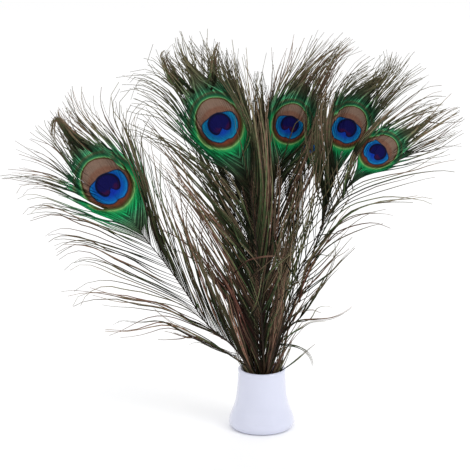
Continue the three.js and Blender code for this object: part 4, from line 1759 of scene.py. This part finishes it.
@dataclass(frozen=True)
class Vase:
    """The small flared vase, its sizes in millimetres and its heel's turn in radians."""

    height: float = 50.0
    floor: float = 4.0
    foot_radius: float = 22.6
    heel_reach: float = 4.0
    heel_rise: float = 4.35
    heel_turn: float = 1.45
    bell_radius: float = 26.7
    neck_radius: float = 19.5
    mouth_radius: float = 16.4
    steps: int = 128

    def outline(self) -> list[tuple[float, float]]:
        """The wall's section, from the middle of the underside round to the middle of the floor."""
        lip = (self.neck_radius - self.mouth_radius) / 2
        outer = smooth_line([
            (self.bell_radius, 4.2), (self.bell_radius - 0.5, 8.4), (24.5, 13), (22.4, 18.5),
            (20.9, 25.5), (self.neck_radius + 0.5, 34), (self.neck_radius + 0.05, 40),
            (self.neck_radius - 0.15, self.height - 5.8), (self.neck_radius - 0.45, self.height - 3.7),
            (self.neck_radius, self.height - lip),
        ], 26)
        inner = smooth_line([
            (self.mouth_radius, self.height - lip), (16.8, 34), (18.2, 23), (21.3, 13), (22.6, 8),
            (21.6, self.floor + 1.6), (19, self.floor),
        ], 22)
        crest = [
            (self.neck_radius - lip + lip * math.cos(a), self.height - lip + lip * math.sin(a))
            for a in np.linspace(0, math.pi, 11)[1:-1]
        ]
        heel = [
            (self.foot_radius + self.heel_reach * math.sin(a), self.heel_rise * (1 - math.cos(a)))
            for a in np.linspace(0, self.heel_turn, 8)
        ]
        return [(0.0, 0.0), *heel, *map(tuple, outer), *crest, *map(tuple, inner), (0.0, self.floor)]

    def build(self, finish: bpy.types.Material) -> bpy.types.Object:
        """Spin the section round the upright axis.

        Args:
            finish: The glaze.

        Returns:
            The vase's object.
        """
        bm = bmesh.new()
        points = [bm.verts.new((radius * MM, 0, height * MM)) for radius, height in self.outline()]
        edges = [bm.edges.new(pair) for pair in zip(points, points[1:])]
        bmesh.ops.spin(
            bm, geom=[*points, *edges], cent=(0, 0, 0), axis=(0, 0, 1), angle=math.tau,
            steps=self.steps, use_merge=True, use_duplicate=False,
        )
        bmesh.ops.remove_doubles(bm, verts=bm.verts, dist=1e-6)
        bmesh.ops.recalc_face_normals(bm, faces=bm.faces)
        for face in bm.faces:
            face.smooth = True
        mesh = bpy.data.meshes.new("white_vase")
        bm.to_mesh(mesh)
        bm.free()
        return add_piece(mesh, [finish], "vase")


# ---- Studio ---------------------------------------------------------------------------------


@dataclass(frozen=True)
class Studio:
    """The floor, lights and camera, in metres, with the lens and its sensor in millimetres."""

    view: View = FRONT_VIEW
    lens: float = 143.6
    sensor: float = 36.0
    floor_size: float = 12.0
    sky: float = 0.88

    def build(self) -> None:
        """Set up the floor, the lights and the camera."""
        self.floor()
        self.world()
        self.lamp("key", (1.4, -1.0, 1.3), 1.0, 12)
        self.lamp("fill", (-1.5, -1.3, 0.9), 1.6, 2)
        self.lamp("top", (0.0, 0.6, 3.2), 5.0, 34)
        self.camera()

    def floor(self) -> None:
        """Lay the floor."""
        bm = bmesh.new()
        bmesh.ops.create_grid(bm, x_segments=1, y_segments=1, size=self.floor_size)
        mesh = bpy.data.meshes.new("floor")
        bm.to_mesh(mesh)
        bm.free()
        mesh.materials.append(FloorFinish().build())
        floor = bpy.data.objects.new("floor", mesh)
        bpy.context.scene.collection.objects.link(floor)

    def world(self) -> None:
        """Set the even white surroundings."""
        world = bpy.data.worlds.new("white_room")
        world.use_nodes = True
        back = world.node_tree.nodes["Background"]
        back.inputs["Color"].default_value = (1, 1, 1, 1)
        back.inputs["Strength"].default_value = self.sky
        bpy.context.scene.world = world
        bpy.context.scene.view_settings.view_transform = "Standard"

    def lamp(self, name: str, place: tuple[float, float, float], size: float, power: float) -> None:
        """Hang one soft square lamp that faces the bunch.

        Args:
            name: The lamp's name.
            place: Where it hangs.
            size: Its width.
            power: Its power in watts.
        """
        data = bpy.data.lights.new(name, "AREA")
        data.size, data.energy = size, power
        lamp = bpy.data.objects.new(name, data)
        lamp.location = place
        heading = Vector(self.view.aim) * MM - Vector(place)
        lamp.rotation_euler = heading.to_track_quat("-Z", "Y").to_euler()
        bpy.context.scene.collection.objects.link(lamp)

    def camera(self) -> None:
        """Place the camera in front and a little above."""
        data = bpy.data.cameras.new("camera")
        data.sensor_width, data.lens = self.sensor, self.lens
        camera = bpy.data.objects.new("camera", data)
        camera.location = Vector(self.view.place()) * MM
        camera.rotation_euler = Vector(self.view.ways()[2]).to_track_quat("-Z", "Y").to_euler()
        bpy.context.scene.collection.objects.link(camera)
        bpy.context.scene.camera = camera


def main() -> None:
    """Build the whole scene around the frame."""
    logging.basicConfig(level=logging.INFO, format="%(name)s %(message)s")
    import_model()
    Studio().build()
    effects = Effects()
    coloured = BarbFinish("barb_coloured_side", shows_eye=True).build(effects)
    dull = BarbFinish("barb_dull_side", shows_eye=False).build(effects)
    horn = ShaftFinish().build()
    Vase().build(GlazeFinish().build())
    for feather in feathers():
        feather.build_shaft(horn)
        feather.build_barbs([coloured, dull])


if __name__ == "__main__":
    main()
